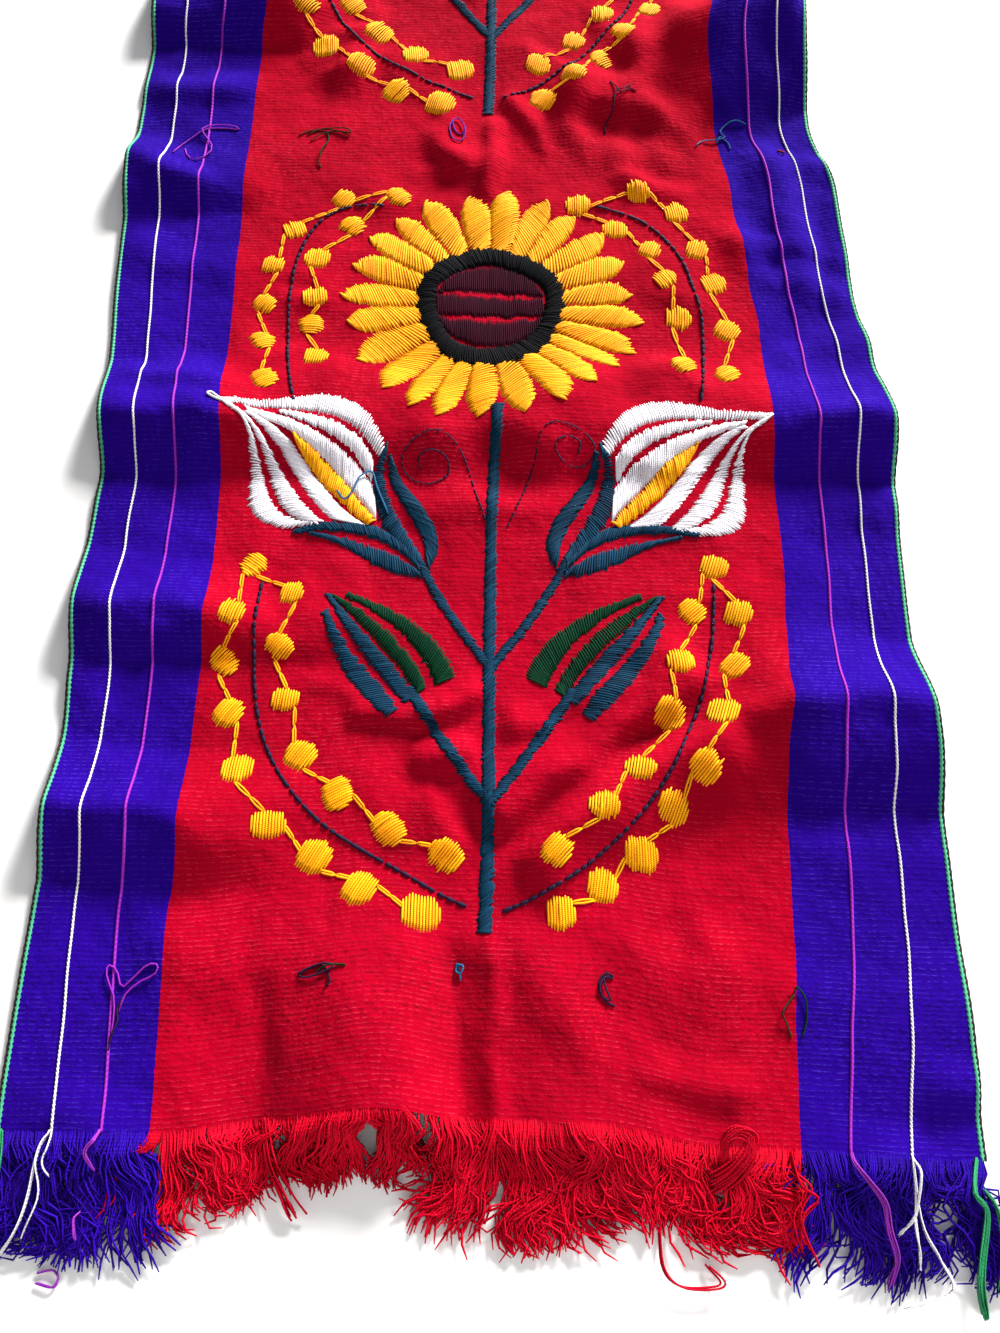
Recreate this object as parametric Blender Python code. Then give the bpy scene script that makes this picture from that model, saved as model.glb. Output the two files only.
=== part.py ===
"""A handwoven table runner laid out on a flat surface, with a fringe of cut warp at each end.

X runs across the cloth, Y along it from the near hem to the far one, and +Z is up. Lengths are in
metres. The cloth is one folded sheet. Each fringe is a narrow woven heading with its locks of yarn,
parted from the hem by a small gap. Everything rests on the plane z = 0, centred on the origin.
"""

import math
from collections import namedtuple

import bmesh
import bpy
import numpy as np

CLOTH_WIDTH = 0.400
CLOTH_LENGTH = 1.520
CLOTH_THICKNESS = 0.0018

# The near stretch of the cloth carries the closest folds, so its rows are closer together.
BUSY_LENGTH = 0.660
BUSY_ROWS = 45
CALM_ROWS = 30
COLUMNS_PER_SIDE = 10
CREASE_ACROSS = -0.0085
COLUMN_CROWDING = 0.55

GAP = 0.0003
HEADING_WIDTH = 0.005
LOCKS = 56
LOCK_STEPS = 4
LOCK_ROOT_SHARE = 0.60
LOCK_TIP_WIDTH = 0.0020
LOCK_TIP_THICKNESS = 0.0014
LOCK_LENGTH = 0.046
LOCK_LENGTH_SPREAD = 0.006
SHORT_LOCK_SHARE = 0.62
SHORT_LOCKS_FROM = -0.125
SHORT_LOCKS_TO = -0.020
LOCK_SWAY = 0.0085
LOCK_SWAY_PITCH = 0.118
LOCK_DROP_LENGTH = 0.018
FRINGE_SEED = 12

# Low swells between the folds. The cloth sinks by its own weight, and lies flat where they run out.
SWELL_HEIGHT = 0.0014
SWELL_ACROSS = 0.170
SWELL_ALONG = 0.290
SINK = 0.0010

# A crest that runs from one side of the cloth towards the other. Each end is (across, along).
CrossFold = namedtuple("CrossFold", "left right height far near fade_left fade_right")
NO_FADE = 0.0
CROSS_FOLDS = (
    CrossFold((-0.230, 0.128), (-0.060, 0.124), 0.012, 0.050, 0.032, NO_FADE, 0.075),
    CrossFold((-0.230, 0.233), (-0.055, 0.222), 0.011, 0.045, 0.028, NO_FADE, 0.080),
    CrossFold((-0.230, 0.337), (0.230, 0.333), 0.009, 0.060, 0.037, NO_FADE, NO_FADE),
    CrossFold((-0.230, 0.337), (-0.090, 0.336), 0.005, 0.045, 0.037, NO_FADE, 0.060),
    CrossFold((0.095, 0.334), (0.230, 0.333), 0.006, 0.050, 0.037, 0.060, NO_FADE),
    CrossFold((0.085, 0.181), (0.230, 0.181), 0.016, 0.052, 0.060, 0.060, NO_FADE),
    CrossFold((0.005, 0.118), (0.150, 0.188), 0.008, 0.028, 0.045, 0.060, 0.060),
    CrossFold((0.110, 0.383), (0.230, 0.386), 0.004, 0.022, 0.022, 0.050, NO_FADE),
    CrossFold((-0.230, 0.498), (-0.095, 0.492), 0.009, 0.042, 0.030, NO_FADE, 0.060),
    CrossFold((-0.230, 0.622), (-0.055, 0.628), 0.013, 0.065, 0.036, NO_FADE, 0.070),
    CrossFold((0.075, 0.600), (0.230, 0.606), 0.020, 0.075, 0.088, 0.080, NO_FADE),
    CrossFold((0.130, 0.040), (0.230, 0.050), 0.005, 0.040, 0.045, 0.050, NO_FADE),
    CrossFold((-0.230, 0.742), (0.040, 0.752), 0.010, 0.060, 0.045, NO_FADE, 0.110),
    CrossFold((0.010, 0.846), (0.230, 0.858), 0.012, 0.060, 0.050, 0.090, NO_FADE),
    CrossFold((-0.230, 0.968), (0.230, 0.984), 0.009, 0.070, 0.050, NO_FADE, NO_FADE),
    CrossFold((-0.230, 1.112), (-0.020, 1.100), 0.009, 0.060, 0.050, NO_FADE, 0.090),
    CrossFold((0.050, 1.206), (0.230, 1.214), 0.010, 0.070, 0.055, 0.080, NO_FADE),
    CrossFold((-0.230, 1.352), (0.230, 1.340), 0.007, 0.080, 0.060, NO_FADE, NO_FADE),
)

# A crest that runs along the cloth. A sharp foot meets the surface as a crease does.
LongFold = namedtuple("LongFold", "near far height left right fade_near fade_far sharp_left sharp_right")
LONG_FOLDS = (
    LongFold((-0.038, -0.010), (-0.046, 0.130), 0.017, 0.074, 0.0295, NO_FADE, 0.110, False, True),
    LongFold((0.028, -0.010), (0.024, 0.170), 0.006, 0.0365, 0.080, NO_FADE, 0.120, True, False),
    LongFold((0.176, 0.395), (0.162, 0.560), 0.006, 0.026, 0.022, 0.050, 0.060, False, False),
    LongFold((0.030, 0.500), (0.086, 0.640), 0.006, 0.022, 0.016, 0.050, 0.060, False, False),
    LongFold((-0.092, 0.540), (-0.060, 0.650), 0.004, 0.020, 0.016, 0.040, 0.050, False, False),
    LongFold((0.020, 1.010), (-0.030, 1.330), 0.005, 0.040, 0.034, 0.120, 0.120, False, False),
)

# How far each long edge and each hem strays from its straight line. Rows are (place, shift).
LEFT_EDGE = ((0.0, -0.0015), (0.18, 0.0035), (0.25, 0.002), (0.31, 0.0045), (0.36, 0.0015), (0.44, -0.0015),
             (0.49, -0.002), (0.64, 0.001), (0.90, -0.001), (1.20, 0.003), (1.52, 0.0))
RIGHT_EDGE = ((0.0, 0.001), (0.16, 0.003), (0.22, -0.001), (0.33, 0.0015), (0.38, -0.003), (0.42, -0.008),
              (0.49, -0.010), (0.54, -0.020), (0.60, -0.021), (0.66, -0.016), (0.80, -0.004), (1.10, 0.001),
              (1.52, 0.0))
NEAR_HEM = ((-0.200, -0.001), (-0.130, -0.001), (-0.085, 0.004), (-0.045, 0.008), (-0.010, 0.004),
            (0.045, 0.002), (0.105, -0.007), (0.200, -0.012))
FAR_HEM = ((-0.200, 0.003), (-0.080, -0.002), (0.060, 0.002), (0.200, -0.003))
HEM_REACH = 0.300


def softened(share):
    """A share from 0 to 1, eased at both ends."""
    share = np.clip(share, 0.0, 1.0)
    return share * share * (3.0 - 2.0 * share)


def smooth_table(place, rows):
    """A table's value at each place, eased between its rows."""
    places, values = np.array(rows).T
    place = np.clip(place, places[0], places[-1])
    row = np.clip(np.searchsorted(places, place, side="right") - 1, 0, len(places) - 2)
    share = (place - places[row]) / (places[row + 1] - places[row])
    return values[row] + (values[row + 1] - values[row]) * softened(share)


def slope(distance, width, sharp):
    """A fold's height from its crest, 1, to its foot, 0."""
    share = np.clip(np.abs(distance) / width, 0.0, 1.0)
    if sharp:
        return np.cos(0.5 * math.pi * share)
    return 0.5 + 0.5 * np.cos(math.pi * share)


def faded(place, start, end, fade_start, fade_end):
    """1 between start and end, and down to 0 at an end that fades."""
    share = np.ones_like(place)
    if fade_start:
        share = share * softened((place - start) / fade_start)
    if fade_end:
        share = share * softened((end - place) / fade_end)
    return share


def cross_fold_height(fold, across, along):
    share = (across - fold.left[0]) / (fold.right[0] - fold.left[0])
    crest = fold.left[1] + share * (fold.right[1] - fold.left[1])
    beyond = along - crest
    side = np.where(beyond > 0.0, slope(beyond, fold.far, False), slope(beyond, fold.near, False))
    window = faded(across, fold.left[0], fold.right[0], fold.fade_left, fold.fade_right)
    return fold.height * side * window


def long_fold_height(fold, across, along):
    share = (along - fold.near[1]) / (fold.far[1] - fold.near[1])
    crest = fold.near[0] + share * (fold.far[0] - fold.near[0])
    beyond = across - crest
    left_side = slope(beyond, fold.left, fold.sharp_left)
    right_side = slope(beyond, fold.right, fold.sharp_right)
    window = faded(along, fold.near[1], fold.far[1], fold.fade_near, fold.fade_far)
    return fold.height * np.where(beyond < 0.0, left_side, right_side) * window


def underside(across, along):
    """The height of the cloth's underside over the surface. The lowest stretches lie flat on it."""
    swell = np.sin(2.0 * math.pi * across / SWELL_ACROSS) * np.sin(2.0 * math.pi * along / SWELL_ALONG)
    height = SWELL_HEIGHT * swell - SINK
    for fold in CROSS_FOLDS:
        height = height + cross_fold_height(fold, across, along)
    for fold in LONG_FOLDS:
        height = height + long_fold_height(fold, across, along)
    return np.maximum(height, 0.0)


def laid(across, along):
    """Where a point of the cloth lies: its X, and its Y from the near hem's straight line."""
    left_share = np.clip(-across / (CLOTH_WIDTH / 2.0), 0.0, 1.0)
    right_share = np.clip(across / (CLOTH_WIDTH / 2.0), 0.0, 1.0)
    left_shift = left_share * smooth_table(along, LEFT_EDGE)
    right_shift = right_share * smooth_table(along, RIGHT_EDGE)
    near_share = softened(1.0 - along / HEM_REACH)
    far_share = softened(1.0 - (CLOTH_LENGTH - along) / HEM_REACH)
    hem_shift = near_share * smooth_table(across, NEAR_HEM) + far_share * smooth_table(across, FAR_HEM)
    return across + left_shift + right_shift, along + hem_shift


def cloth_columns():
    """Places across the cloth, crowded towards the lengthwise crease."""
    share = np.linspace(0.0, 1.0, COLUMNS_PER_SIDE + 1)
    eased = (1.0 - COLUMN_CROWDING) * share + COLUMN_CROWDING * share**2
    left = CREASE_ACROSS - (CLOTH_WIDTH / 2.0 + CREASE_ACROSS) * eased
    right = CREASE_ACROSS + (CLOTH_WIDTH / 2.0 - CREASE_ACROSS) * eased
    return np.concatenate([left[::-1], right[1:]])


def cloth_rows():
    busy = np.linspace(0.0, BUSY_LENGTH, BUSY_ROWS + 1)
    calm = np.linspace(BUSY_LENGTH, CLOTH_LENGTH, CALM_ROWS + 1)
    return np.concatenate([busy, calm[1:]])


def hem_line(across, hem):
    """Where a hem runs between the cloth's own columns, so that a heading can follow it."""
    columns = cloth_columns()
    x, y = laid(columns, np.full_like(columns, hem))
    return np.interp(across, columns, x), np.interp(across, columns, y)


def mesh_object(name, points, faces, material):
    mesh = bpy.data.meshes.new(name)
    mesh.from_pydata([tuple(point) for point in points], [], faces)
    shell = bmesh.new()
    shell.from_mesh(mesh)
    bmesh.ops.recalc_face_normals(shell, faces=shell.faces)
    shell.to_mesh(mesh)
    shell.free()
    mesh.shade_smooth()
    mesh.set_sharp_from_angle(angle=math.radians(50.0))
    mesh.materials.append(material)
    piece = bpy.data.objects.new(name, mesh)
    bpy.context.scene.collection.objects.link(piece)
    return piece


def finish(name, colour, roughness):
    material = bpy.data.materials.new(name)
    material.use_nodes = True
    shader = material.node_tree.nodes["Principled BSDF"]
    shader.inputs["Base Color"].default_value = (*colour, 1.0)
    shader.inputs["Roughness"].default_value = roughness
    shader.inputs["Metallic"].default_value = 0.0
    return material


def woven_cloth(material):
    """The sheet: an underside, an upper side one thickness above it, and a wall round its edge."""
    columns = cloth_columns()
    rows = cloth_rows()
    across, along = np.meshgrid(columns, rows)
    x, y = laid(across, along)
    low = underside(across, along)
    under = np.stack([x, y, low], axis=-1).reshape(-1, 3)
    upper = np.stack([x, y, low + CLOTH_THICKNESS], axis=-1).reshape(-1, 3)
    wide = len(columns)
    long = len(rows)
    layer = wide * long
    faces = []
    for row in range(long - 1):
        for column in range(wide - 1):
            corner = row * wide + column
            ring = (corner, corner + 1, corner + wide + 1, corner + wide)
            faces.append(ring[::-1])
            faces.append(tuple(layer + point for point in ring))
    rim = [column for column in range(wide)]
    rim += [row * wide + wide - 1 for row in range(1, long)]
    rim += [(long - 1) * wide + column for column in range(wide - 2, -1, -1)]
    rim += [row * wide for row in range(long - 2, 0, -1)]
    for here, after in zip(rim, rim[1:] + rim[:1]):
        faces.append((here, after, layer + after, layer + here))
    return mesh_object("woven_cloth", np.concatenate([under, upper]), faces, material)


def lock_lengths(draw, hem, middles):
    """Each lock's length. Those under the raised arch of the near hem are shorter."""
    lengths = LOCK_LENGTH + LOCK_LENGTH_SPREAD * draw.uniform(-1.0, 1.0, len(middles))
    if hem == 0.0:
        short = (middles > SHORT_LOCKS_FROM) & (middles < SHORT_LOCKS_TO)
        lengths = np.where(short, SHORT_LOCK_SHARE * lengths, lengths)
    return lengths


def fringe(name, hem, outward, material):
    """A narrow woven heading along a hem, with its locks of yarn drawn out of its outer side."""
    draw = np.random.default_rng(FRINGE_SEED + int(outward > 0.0))
    pitch = CLOTH_WIDTH / LOCKS
    lock_edges = -CLOTH_WIDTH / 2.0 + pitch * np.arange(LOCKS)
    margin = 0.5 * pitch * (1.0 - LOCK_ROOT_SHARE)
    columns = np.sort(np.concatenate([lock_edges + margin, lock_edges + pitch - margin]))
    columns[0] = -CLOTH_WIDTH / 2.0
    columns[-1] = CLOTH_WIDTH / 2.0
    x, y = hem_line(columns, hem)
    low = underside(columns, np.full_like(columns, hem))
    inner = y + outward * GAP
    outer = inner + outward * HEADING_WIDTH
    points = []
    for column in range(len(columns)):
        points.append((x[column], inner[column], low[column]))
        points.append((x[column], inner[column], low[column] + CLOTH_THICKNESS))
        points.append((x[column], outer[column], low[column]))
        points.append((x[column], outer[column], low[column] + CLOTH_THICKNESS))
    faces = [(0, 1, 3, 2), tuple(4 * (len(columns) - 1) + corner for corner in (0, 2, 3, 1))]
    lengths = lock_lengths(draw, hem, 0.5 * (columns[0::2] + columns[1::2]))
    for column in range(len(columns) - 1):
        here = 4 * column
        after = here + 4
        faces.append((here, after, after + 2, here + 2))
        faces.append((here + 1, here + 3, after + 3, after + 1))
        faces.append((here, here + 1, after + 1, after))
        if column % 2:
            faces.append((here + 2, after + 2, after + 3, here + 3))
        else:
            root = (here + 2, after + 2, after + 3, here + 3)
            add_lock(points, faces, root, lengths[column // 2], outward)
    return mesh_object(name, points, faces, material)


def add_lock(points, faces, root, length, outward):
    """Draws one lock of yarn out of the four corners of its root, down to the surface and along it."""
    left, right = points[root[0]], points[root[1]]
    middle = 0.5 * (left[0] + right[0])
    root_width = right[0] - left[0]
    root_y = 0.5 * (left[1] + right[1])
    root_low = 0.5 * (left[2] + right[2])
    sway = LOCK_SWAY * math.sin(2.0 * math.pi * middle / LOCK_SWAY_PITCH + outward)
    ring = root
    for step in range(1, LOCK_STEPS + 1):
        share = step / LOCK_STEPS
        away = share * length
        width = root_width + (LOCK_TIP_WIDTH - root_width) * share
        thick = CLOTH_THICKNESS + (LOCK_TIP_THICKNESS - CLOTH_THICKNESS) * share
        low = root_low * (1.0 - float(softened(away / LOCK_DROP_LENGTH)))
        x = middle + sway * share**1.6
        y = root_y + outward * away
        first = len(points)
        points.append((x - 0.5 * width, y, low))
        points.append((x + 0.5 * width, y, low))
        points.append((x + 0.5 * width, y, low + thick))
        points.append((x - 0.5 * width, y, low + thick))
        after = (first, first + 1, first + 2, first + 3)
        for corner in range(4):
            beside = (corner + 1) % 4
            faces.append((ring[corner], ring[beside], after[beside], after[corner]))
        ring = after
    faces.append(ring)


def centre_on_origin(pieces):
    """Moves the pieces together, so that their outline's middle is over the origin."""
    corners = np.array([vertex.co for piece in pieces for vertex in piece.data.vertices])
    middle = 0.5 * (corners.min(axis=0) + corners.max(axis=0))
    for piece in pieces:
        piece.location = (-middle[0], -middle[1], 0.0)


def build():
    for old in list(bpy.data.objects):
        bpy.data.objects.remove(old, do_unlink=True)
    cloth_finish = finish("cloth", (0.58, 0.004, 0.022), 0.85)
    yarn_finish = finish("fringe_yarn", (0.55, 0.004, 0.022), 0.9)
    pieces = [
        woven_cloth(cloth_finish),
        fringe("fringe_near", 0.0, -1.0, yarn_finish),
        fringe("fringe_far", CLOTH_LENGTH, 1.0, yarn_finish),
    ]
    centre_on_origin(pieces)


build()
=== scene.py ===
"""The looks of an embroidered table runner: folded cloth, raised stitches, cord stripes and fringe.

A place on the cloth is (across, along) in metres: across from the cloth's middle, along from the near
hem. Motifs are drawn in millimetres from the foot of their stem, and stitched on to the folded cloth.
"""

import math
from collections import namedtuple

import bpy
import numpy as np
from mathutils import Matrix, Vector


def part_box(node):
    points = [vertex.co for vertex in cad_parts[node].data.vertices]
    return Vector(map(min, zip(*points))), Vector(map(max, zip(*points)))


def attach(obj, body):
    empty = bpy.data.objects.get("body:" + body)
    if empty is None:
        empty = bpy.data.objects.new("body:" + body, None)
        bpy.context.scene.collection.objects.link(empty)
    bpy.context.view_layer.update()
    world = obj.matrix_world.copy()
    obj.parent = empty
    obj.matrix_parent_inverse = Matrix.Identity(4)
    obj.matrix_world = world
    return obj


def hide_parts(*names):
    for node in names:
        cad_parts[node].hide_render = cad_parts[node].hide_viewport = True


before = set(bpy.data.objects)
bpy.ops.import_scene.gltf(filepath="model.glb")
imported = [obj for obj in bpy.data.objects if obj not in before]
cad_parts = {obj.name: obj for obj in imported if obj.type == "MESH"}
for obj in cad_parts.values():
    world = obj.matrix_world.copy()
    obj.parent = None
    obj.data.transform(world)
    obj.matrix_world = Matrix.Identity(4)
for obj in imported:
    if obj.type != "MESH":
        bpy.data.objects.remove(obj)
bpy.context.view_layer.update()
cloth_low, cloth_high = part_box("woven_cloth")

FULL_TURN = 2.0 * math.pi
MM = 0.001
PER_METRE = 1000.0
SEEDS = {"rumples": 97, "sprays": 300, "tails": 411, "fringe_near": 71, "fringe_far": 72}

CLOTH_WIDTH = 0.400
HALF_WIDTH = CLOTH_WIDTH / 2.0
CLOTH_LENGTH = 1.520
SHEET_LIFT = 0.0002
SHEET_THICKNESS = 0.0014
# The sheet thins to this share of its thickness at the hems, over this length.
HEM_SHARE = 0.4
HEM_TAPER = 0.012
# How softly the sheet comes down to the surface.
LANDING = 4e-7
COLUMNS_PER_SIDE = 60
BUSY_LENGTH = 0.660
BUSY_ROWS = 210
CALM_ROWS = 110
# The columns and rows of the sheet's mesh crowd towards the crease in the middle and the near end.
CREASE_ACROSS = -0.0085
COLUMN_CROWDING = 0.30

RED_HALF_WIDTH = 0.136
MAGENTA_ACROSS = 0.160
WHITE_ACROSS = 0.181
RIB_PITCH = 0.00225
YARN_PITCH = 0.00085
OPEN_BAND_MIDDLE = 0.052
OPEN_BAND_HALF_WIDTH = 0.026

STEM_FOOT_ALONG = 0.0795
SPRAY_PITCH = 0.4705
SPRAYS = 3

SWELL_HEIGHT = 0.0014
SWELL_ACROSS = 0.170
SWELL_ALONG = 0.290
SINK = 0.0010

# Crests of folds, in millimetres. run is the place along the crest's own direction and aside the place
# square to it. before and beyond are the widths of the crest's two sides, the lower place first. An end
# fades over its fade. sharp is -1 or 1 where the side before or beyond meets the surface as a crease does.
FOLD_COLUMNS = "run aside to_run to_aside height before beyond fade_start fade_end sharp"
Fold = namedtuple("Fold", FOLD_COLUMNS, defaults=[0.0])
# From one long edge towards the other: run is across the cloth.
CROSS_FOLDS = (
    (-230, 128, -60, 124, 12, 32, 50, 0, 75),
    (-230, 233, -55, 222, 11, 28, 45, 0, 80),
    (-230, 337, 230, 333, 9, 37, 60, 0, 0),
    (-230, 337, -90, 336, 5, 37, 45, 0, 60),
    (95, 334, 230, 333, 6, 37, 50, 60, 0),
    (85, 181, 230, 181, 16, 60, 52, 60, 0),
    (5, 118, 150, 188, 8, 45, 28, 60, 60),
    (110, 383, 230, 386, 4, 22, 22, 50, 0),
    (-230, 498, -95, 492, 9, 30, 42, 0, 60),
    (-230, 622, -55, 628, 13, 36, 65, 0, 70),
    (75, 600, 230, 606, 20, 88, 75, 80, 0),
    (130, 40, 230, 50, 5, 45, 40, 50, 0),
    (-230, 742, 40, 752, 10, 45, 60, 0, 110),
    (10, 846, 230, 858, 12, 50, 60, 90, 0),
    (-230, 968, 230, 984, 9, 50, 70, 0, 0),
    (-230, 1112, -20, 1100, 9, 50, 60, 0, 90),
    (50, 1206, 230, 1214, 10, 55, 70, 80, 0),
    (-230, 1352, 230, 1340, 7, 60, 80, 0, 0),
)
# From one hem towards the other: run is along the cloth.
LONG_FOLDS = (
    (-10, -38, 130, -46, 17, 74, 29.5, 0, 110, 1),
    (-10, 28, 170, 24, 6, 36.5, 80, 0, 120, -1),
    (395, 176, 560, 162, 6, 26, 22, 50, 60, 0),
    (500, 30, 640, 86, 6, 22, 16, 50, 60, 0),
    (540, -92, 650, -60, 4, 20, 16, 40, 50, 0),
    (1010, 20, 1330, -30, 5, 40, 34, 120, 120, 0),
)

# How far each long edge, each line where red meets blue, and each hem strays from its straight line.
# Rows are (place, shift) in millimetres.
LEFT_EDGE = ((0, -1.5), (180, 3.5), (250, 2), (310, 4.5), (360, 1.5), (440, -1.5), (490, -2), (640, 1),
             (900, -1), (1200, 3), (1520, 0))
RIGHT_EDGE = ((0, 1), (160, 3), (220, -1), (330, 1.5), (380, -3), (420, -8), (490, -10), (540, -20),
              (600, -21), (660, -16), (800, -4), (1100, 1), (1520, 0))
LEFT_BORDER = ((0, -2.9), (53, -3.8), (86, -4.5), (120, -1.5), (160, -1.8), (235, 0.5), (320, 0.5),
               (376, -2.2), (480, -2), (543, -1.2), (600, 0.3), (622, 4), (700, 1), (900, -1), (1200, 2),
               (1520, 0))
RIGHT_BORDER = ((0, -8.8), (45, -7), (80, -4), (125, -3), (160, -1.8), (195, 1.8), (225, 4.8), (255, 6.6),
                (300, 6), (400, 5.8), (430, 2.2), (484, -3), (540, -9.5), (590, -12.3), (625, -7),
                (800, -2), (1100, 1), (1520, 0))
NEAR_HEM = ((-200, -1), (-130, -1), (-85, 4), (-45, 8), (-10, 4), (45, 2), (105, -7), (200, -12))
FAR_HEM = ((-200, 3), (-80, -2), (60, 2), (200, -3))
HEM_REACH = 0.300


def softened(share):
    """A share from 0 to 1, eased at both ends."""
    share = np.clip(share, 0.0, 1.0)
    return share * share * (3.0 - 2.0 * share)


def smooth_table(place, rows):
    """A table's value at each place, eased between its rows. The table is in millimetres."""
    places, values = np.array(rows).T / PER_METRE
    place = np.clip(place, places[0], places[-1])
    row = np.clip(np.searchsorted(places, place, side="right") - 1, 0, len(places) - 2)
    share = (place - places[row]) / (places[row + 1] - places[row])
    return values[row] + (values[row + 1] - values[row]) * softened(share)


def slope(distance, width, sharp):
    """A fold's height from its crest, 1, to its foot, 0."""
    share = np.clip(np.abs(distance) / width, 0.0, 1.0)
    if sharp:
        return np.cos(0.5 * math.pi * share)
    return 0.5 + 0.5 * np.cos(math.pi * share)


def faded(place, start, end, fade_start, fade_end):
    """1 between start and end, and down to 0 at an end that fades."""
    share = np.ones_like(place)
    if fade_start:
        share = share * softened((place - start) / fade_start)
    if fade_end:
        share = share * softened((end - place) / fade_end)
    return share


def fold_height(row, run, aside):
    fold = Fold(*np.array(row) / PER_METRE)
    share = (run - fold.run) / (fold.to_run - fold.run)
    crest = fold.aside + share * (fold.to_aside - fold.aside)
    off_crest = aside - crest
    before = slope(off_crest, fold.before, fold.sharp < 0.0)
    beyond = slope(off_crest, fold.beyond, fold.sharp > 0.0)
    window = faded(run, fold.run, fold.to_run, fold.fade_start, fold.fade_end)
    return fold.height * np.where(off_crest < 0.0, before, beyond) * window


def underside(across, along):
    """The height of the cloth's underside over the surface."""
    swell = np.sin(FULL_TURN * across / SWELL_ACROSS) * np.sin(FULL_TURN * along / SWELL_ALONG)
    height = SWELL_HEIGHT * swell - SINK
    for row in CROSS_FOLDS:
        height = height + fold_height(row, across, along)
    for row in LONG_FOLDS:
        height = height + fold_height(row, along, across)
    return np.maximum(height, 0.0)


def laid(across, along):
    """Where a point of the cloth lies: its X, and its Y from the near hem's straight line."""
    reach = np.abs(across)
    inner_share = np.clip(reach / RED_HALF_WIDTH, 0.0, 1.0)
    outer_share = np.clip((reach - RED_HALF_WIDTH) / (HALF_WIDTH - RED_HALF_WIDTH), 0.0, 1.0)
    border = np.where(across < 0.0, smooth_table(along, LEFT_BORDER), smooth_table(along, RIGHT_BORDER))
    edge = np.where(across < 0.0, smooth_table(along, LEFT_EDGE), smooth_table(along, RIGHT_EDGE))
    side_shift = inner_share * (1.0 - outer_share) * border + outer_share * edge
    near_share = softened(1.0 - along / HEM_REACH)
    far_share = softened(1.0 - (CLOTH_LENGTH - along) / HEM_REACH)
    hem_shift = near_share * smooth_table(across, NEAR_HEM) + far_share * smooth_table(across, FAR_HEM)
    return across + side_shift, along + hem_shift


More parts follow.
